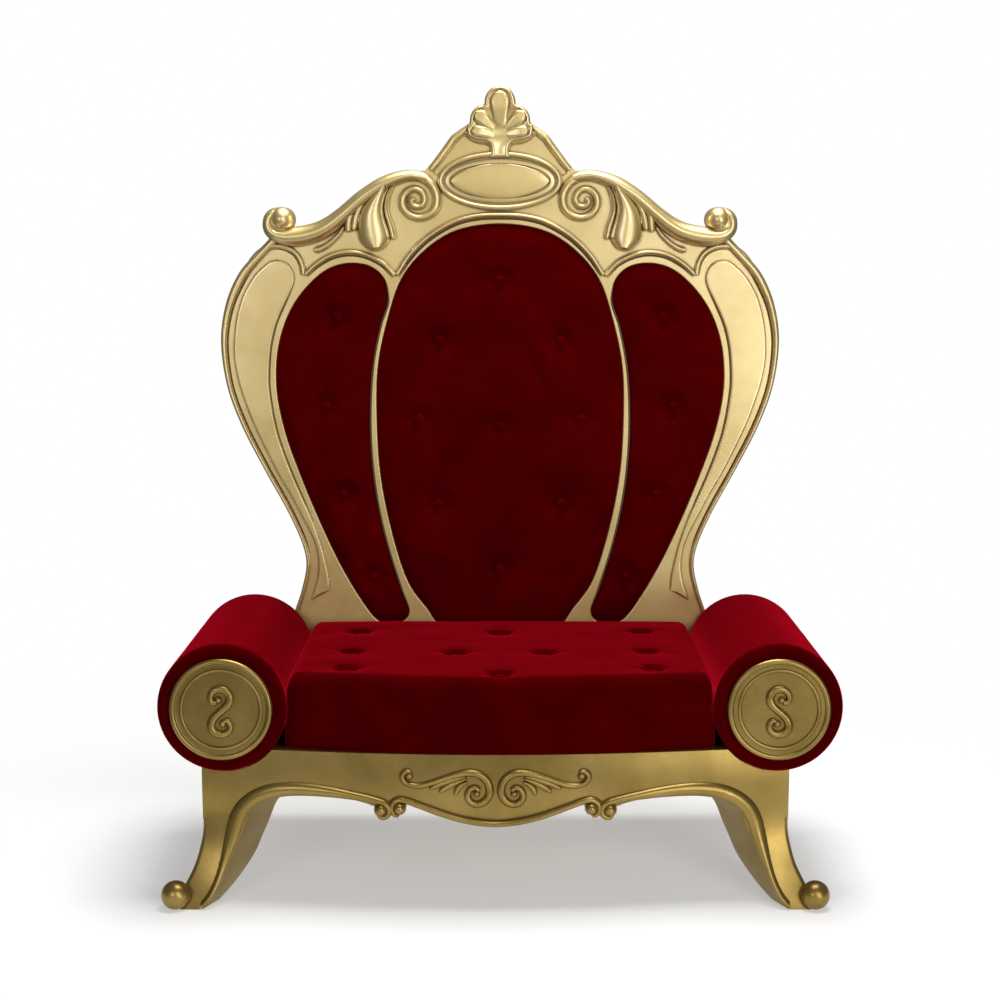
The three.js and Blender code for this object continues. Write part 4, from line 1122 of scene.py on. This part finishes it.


# the same gold twice: the second, for the base and the arm discs, is painted darker as painted shade for the
# lower throne, with no coat and a little less roughness
GILT = gilt("gilt", (0.75, 0.58, 0.235), (0.64, 0.465, 0.16), 0.95, 0.36)
GILT_PAINTED_DARKER = gilt("gilt_painted_darker", (0.34, 0.235, 0.07), (0.25, 0.168, 0.042), 0.0, 0.29)
# the dark brown of the painted shadow lines
PAINTED_SHADOW, _, painted_shadow_shader = tree_of("painted_shadow_line")
feed_all(painted_shadow_shader, Base_Color=(0.075, 0.034, 0.007), Roughness=0.55)
CLOTH_CREASE = 70  # degrees: edges under this are shaded smooth
VELVET = velvet("velvet", (0.043, 0.0, 0.0003), (0.061, 0.0, 0.0006))
# the same velvet again, painted lighter for the back pads: painted light, as the pads look brighter than the
# cushion's front under the same lamps
PAD_VELVET_PAINTED_LIGHTER = velvet("pad_velvet_painted_lighter", (0.062, 0.0, 0.0004), (0.088, 0.0, 0.0008))

# ---- the pieces ----
def dress(slot, node, parts, material, sharp=38.0):
    """The visual piece that stands in for one CAD node."""
    return make(f"{slot}_{node}", parts, material, [node], sharp)


def upholster(node, part, material=VELVET, sharp=CLOTH_CREASE):
    return dress("velvet", node, [part], material, sharp)


dress("gilt", "back_frame", back_ground() + back_carving(), GILT)
# painted shadow lines beside the back's carved edges
make("painted_shadow_lines", painted_shadow_lines(), PAINTED_SHADOW)
dress("gilt", "base_frame", base_parts(), GILT_PAINTED_DARKER)

pads = [
    ("centre", both_sides(CENTRE_BUTTONS), 21), ("right", SIDE_BUTTONS, 22),
    ("left", [(-x, z) for x, z in SIDE_BUTTONS], 23),
]
for word, spots, seed in pads:
    cloth = back_pad(offset(WELLS[word][0], -GAP), spots, seed)
    pad = upholster(f"back_pad_{word}", cloth, PAD_VELVET_PAINTED_LIGHTER)
cushion = upholster("seat_cushion", seat_cushion())
for word, side in (("left", -1), ("right", 1)):
    arm = upholster(f"arm_bolster_{word}", bolster(side), sharp=50)
    dress("gilt", f"arm_disc_{word}", arm_disc(side), GILT_PAINTED_DARKER)

for number, (x, z) in enumerate(both_sides(CENTRE_BUTTONS + SIDE_BUTTONS), 1):
    upholster(f"back_button_{number}", faced(button(), x, PAD_BUTTON_Y, z), PAD_VELVET_PAINTED_LIGHTER)
BUTTON_SETTLE = 10.0  # how far the cushion's buttons are pulled into it
seat_button_z = node_mm("seat_button_1")[0][2] - BUTTON_SETTLE
for number, (x, y) in enumerate(both_sides(SEAT_BUTTONS), 1):
    verts, faces = button()
    upholster(f"seat_button_{number}", (verts + [x, y, seat_button_z], faces))

# ---- the studio ----
FLOOR_REACH, FADE_FROM, FADE_TO = 2.0, 0.9, 1.9  # metres


def pale_floor():
    """A pale floor that fades into the white studio a few metres out."""
    material, tree, shader = tree_of("pale_floor")
    feed_all(shader, Base_Color=(0.66, 0.66, 0.655), Roughness=0.8, Emission_Color=(1, 1, 1),
             Emission_Strength=0.36)
    away = add_node(tree, "VectorMath", Vector=add_node(tree, "TexCoord").outputs["Object"])
    away.operation = "LENGTH"
    fade = add_node(tree, "MapRange", Value=away.outputs["Value"], From_Min=FADE_FROM, From_Max=FADE_TO)
    fade.interpolation_type = "SMOOTHERSTEP"
    both = add_node(tree, "MixShader", Fac=fade.outputs["Result"])
    feed(both.inputs[1], shader.outputs["BSDF"])
    feed(both.inputs[2], add_node(tree, "BsdfTransparent").outputs["BSDF"])
    feed_all(tree.nodes["Material Output"], Surface=both.outputs["Shader"])
    mesh = bpy.data.meshes.new("floor")
    corners = [(x * FLOOR_REACH, y * FLOOR_REACH, 0) for x, y in ((-1, -1), (1, -1), (1, 1), (-1, 1))]
    mesh.from_pydata(corners, [], [(0, 1, 2, 3)])
    mesh.materials.append(material)
    floor = placed("floor", mesh)


LIGHTS = [  # name, place, aim, width, height, watts
    ("overhead", (0.3, 0.2, 3.8), (0, 0.1, 0.6), 2.4, 1.8, 150),
    ("key_right", (1.9, -4.9, 2.3), (0.3, 0.2, 1.0), 2.0, 1.6, 63),
    ("window_right", (1.3, -5.4, 1.0), (0.5, 0.2, 1.1), 0.6, 0.9, 4),
    ("low_right", (2.2, -3.3, 0.4), (0.5, -0.1, 0.3), 1.2, 0.6, 26),
    ("front_left", (-2.1, -5.0, 1.8), (-0.3, 0.2, 1.2), 1.5, 1.1, 42),
]
SKY_GLOW = 0.16  # the white studio as the throne sees it; the camera sees 1


def studio():
    """A white room with large soft lights overhead and to both sides of the camera."""
    world = bpy.data.worlds.new("studio")
    bpy.context.scene.world = world
    world.use_nodes = True
    tree = world.node_tree
    seen = add_node(tree, "LightPath").outputs["Is Camera Ray"]
    level = add_node(tree, "MapRange", Value=seen, To_Min=SKY_GLOW, To_Max=1.0)
    feed_all(tree.nodes["Background"], Color=(1, 1, 1), Strength=level.outputs["Result"])
    for name, place, aim, width, height, watts in LIGHTS:
        data = bpy.data.lights.new(name, "AREA")
        data.shape = "RECTANGLE"
        data.size, data.size_y = width, height
        data.energy = watts
        placed(name, data, place, (Vector(aim) - Vector(place)).to_track_quat("-Z", "Y").to_euler())


pale_floor()
studio()

CAMERA_AWAY, CAMERA_HIGH, CAMERA_DOWN = 3.9, 1.325, 7.35  # metres, metres, degrees
camera_data = bpy.data.cameras.new("camera")
camera_data.lens, camera_data.sensor_width = 72.0, 36.0
bpy.context.scene.camera = placed(
    "camera", camera_data, (0, FRONT - CAMERA_AWAY, CAMERA_HIGH), (math.radians(90 - CAMERA_DOWN), 0, 0))
bpy.context.scene.view_settings.view_transform = "Standard"
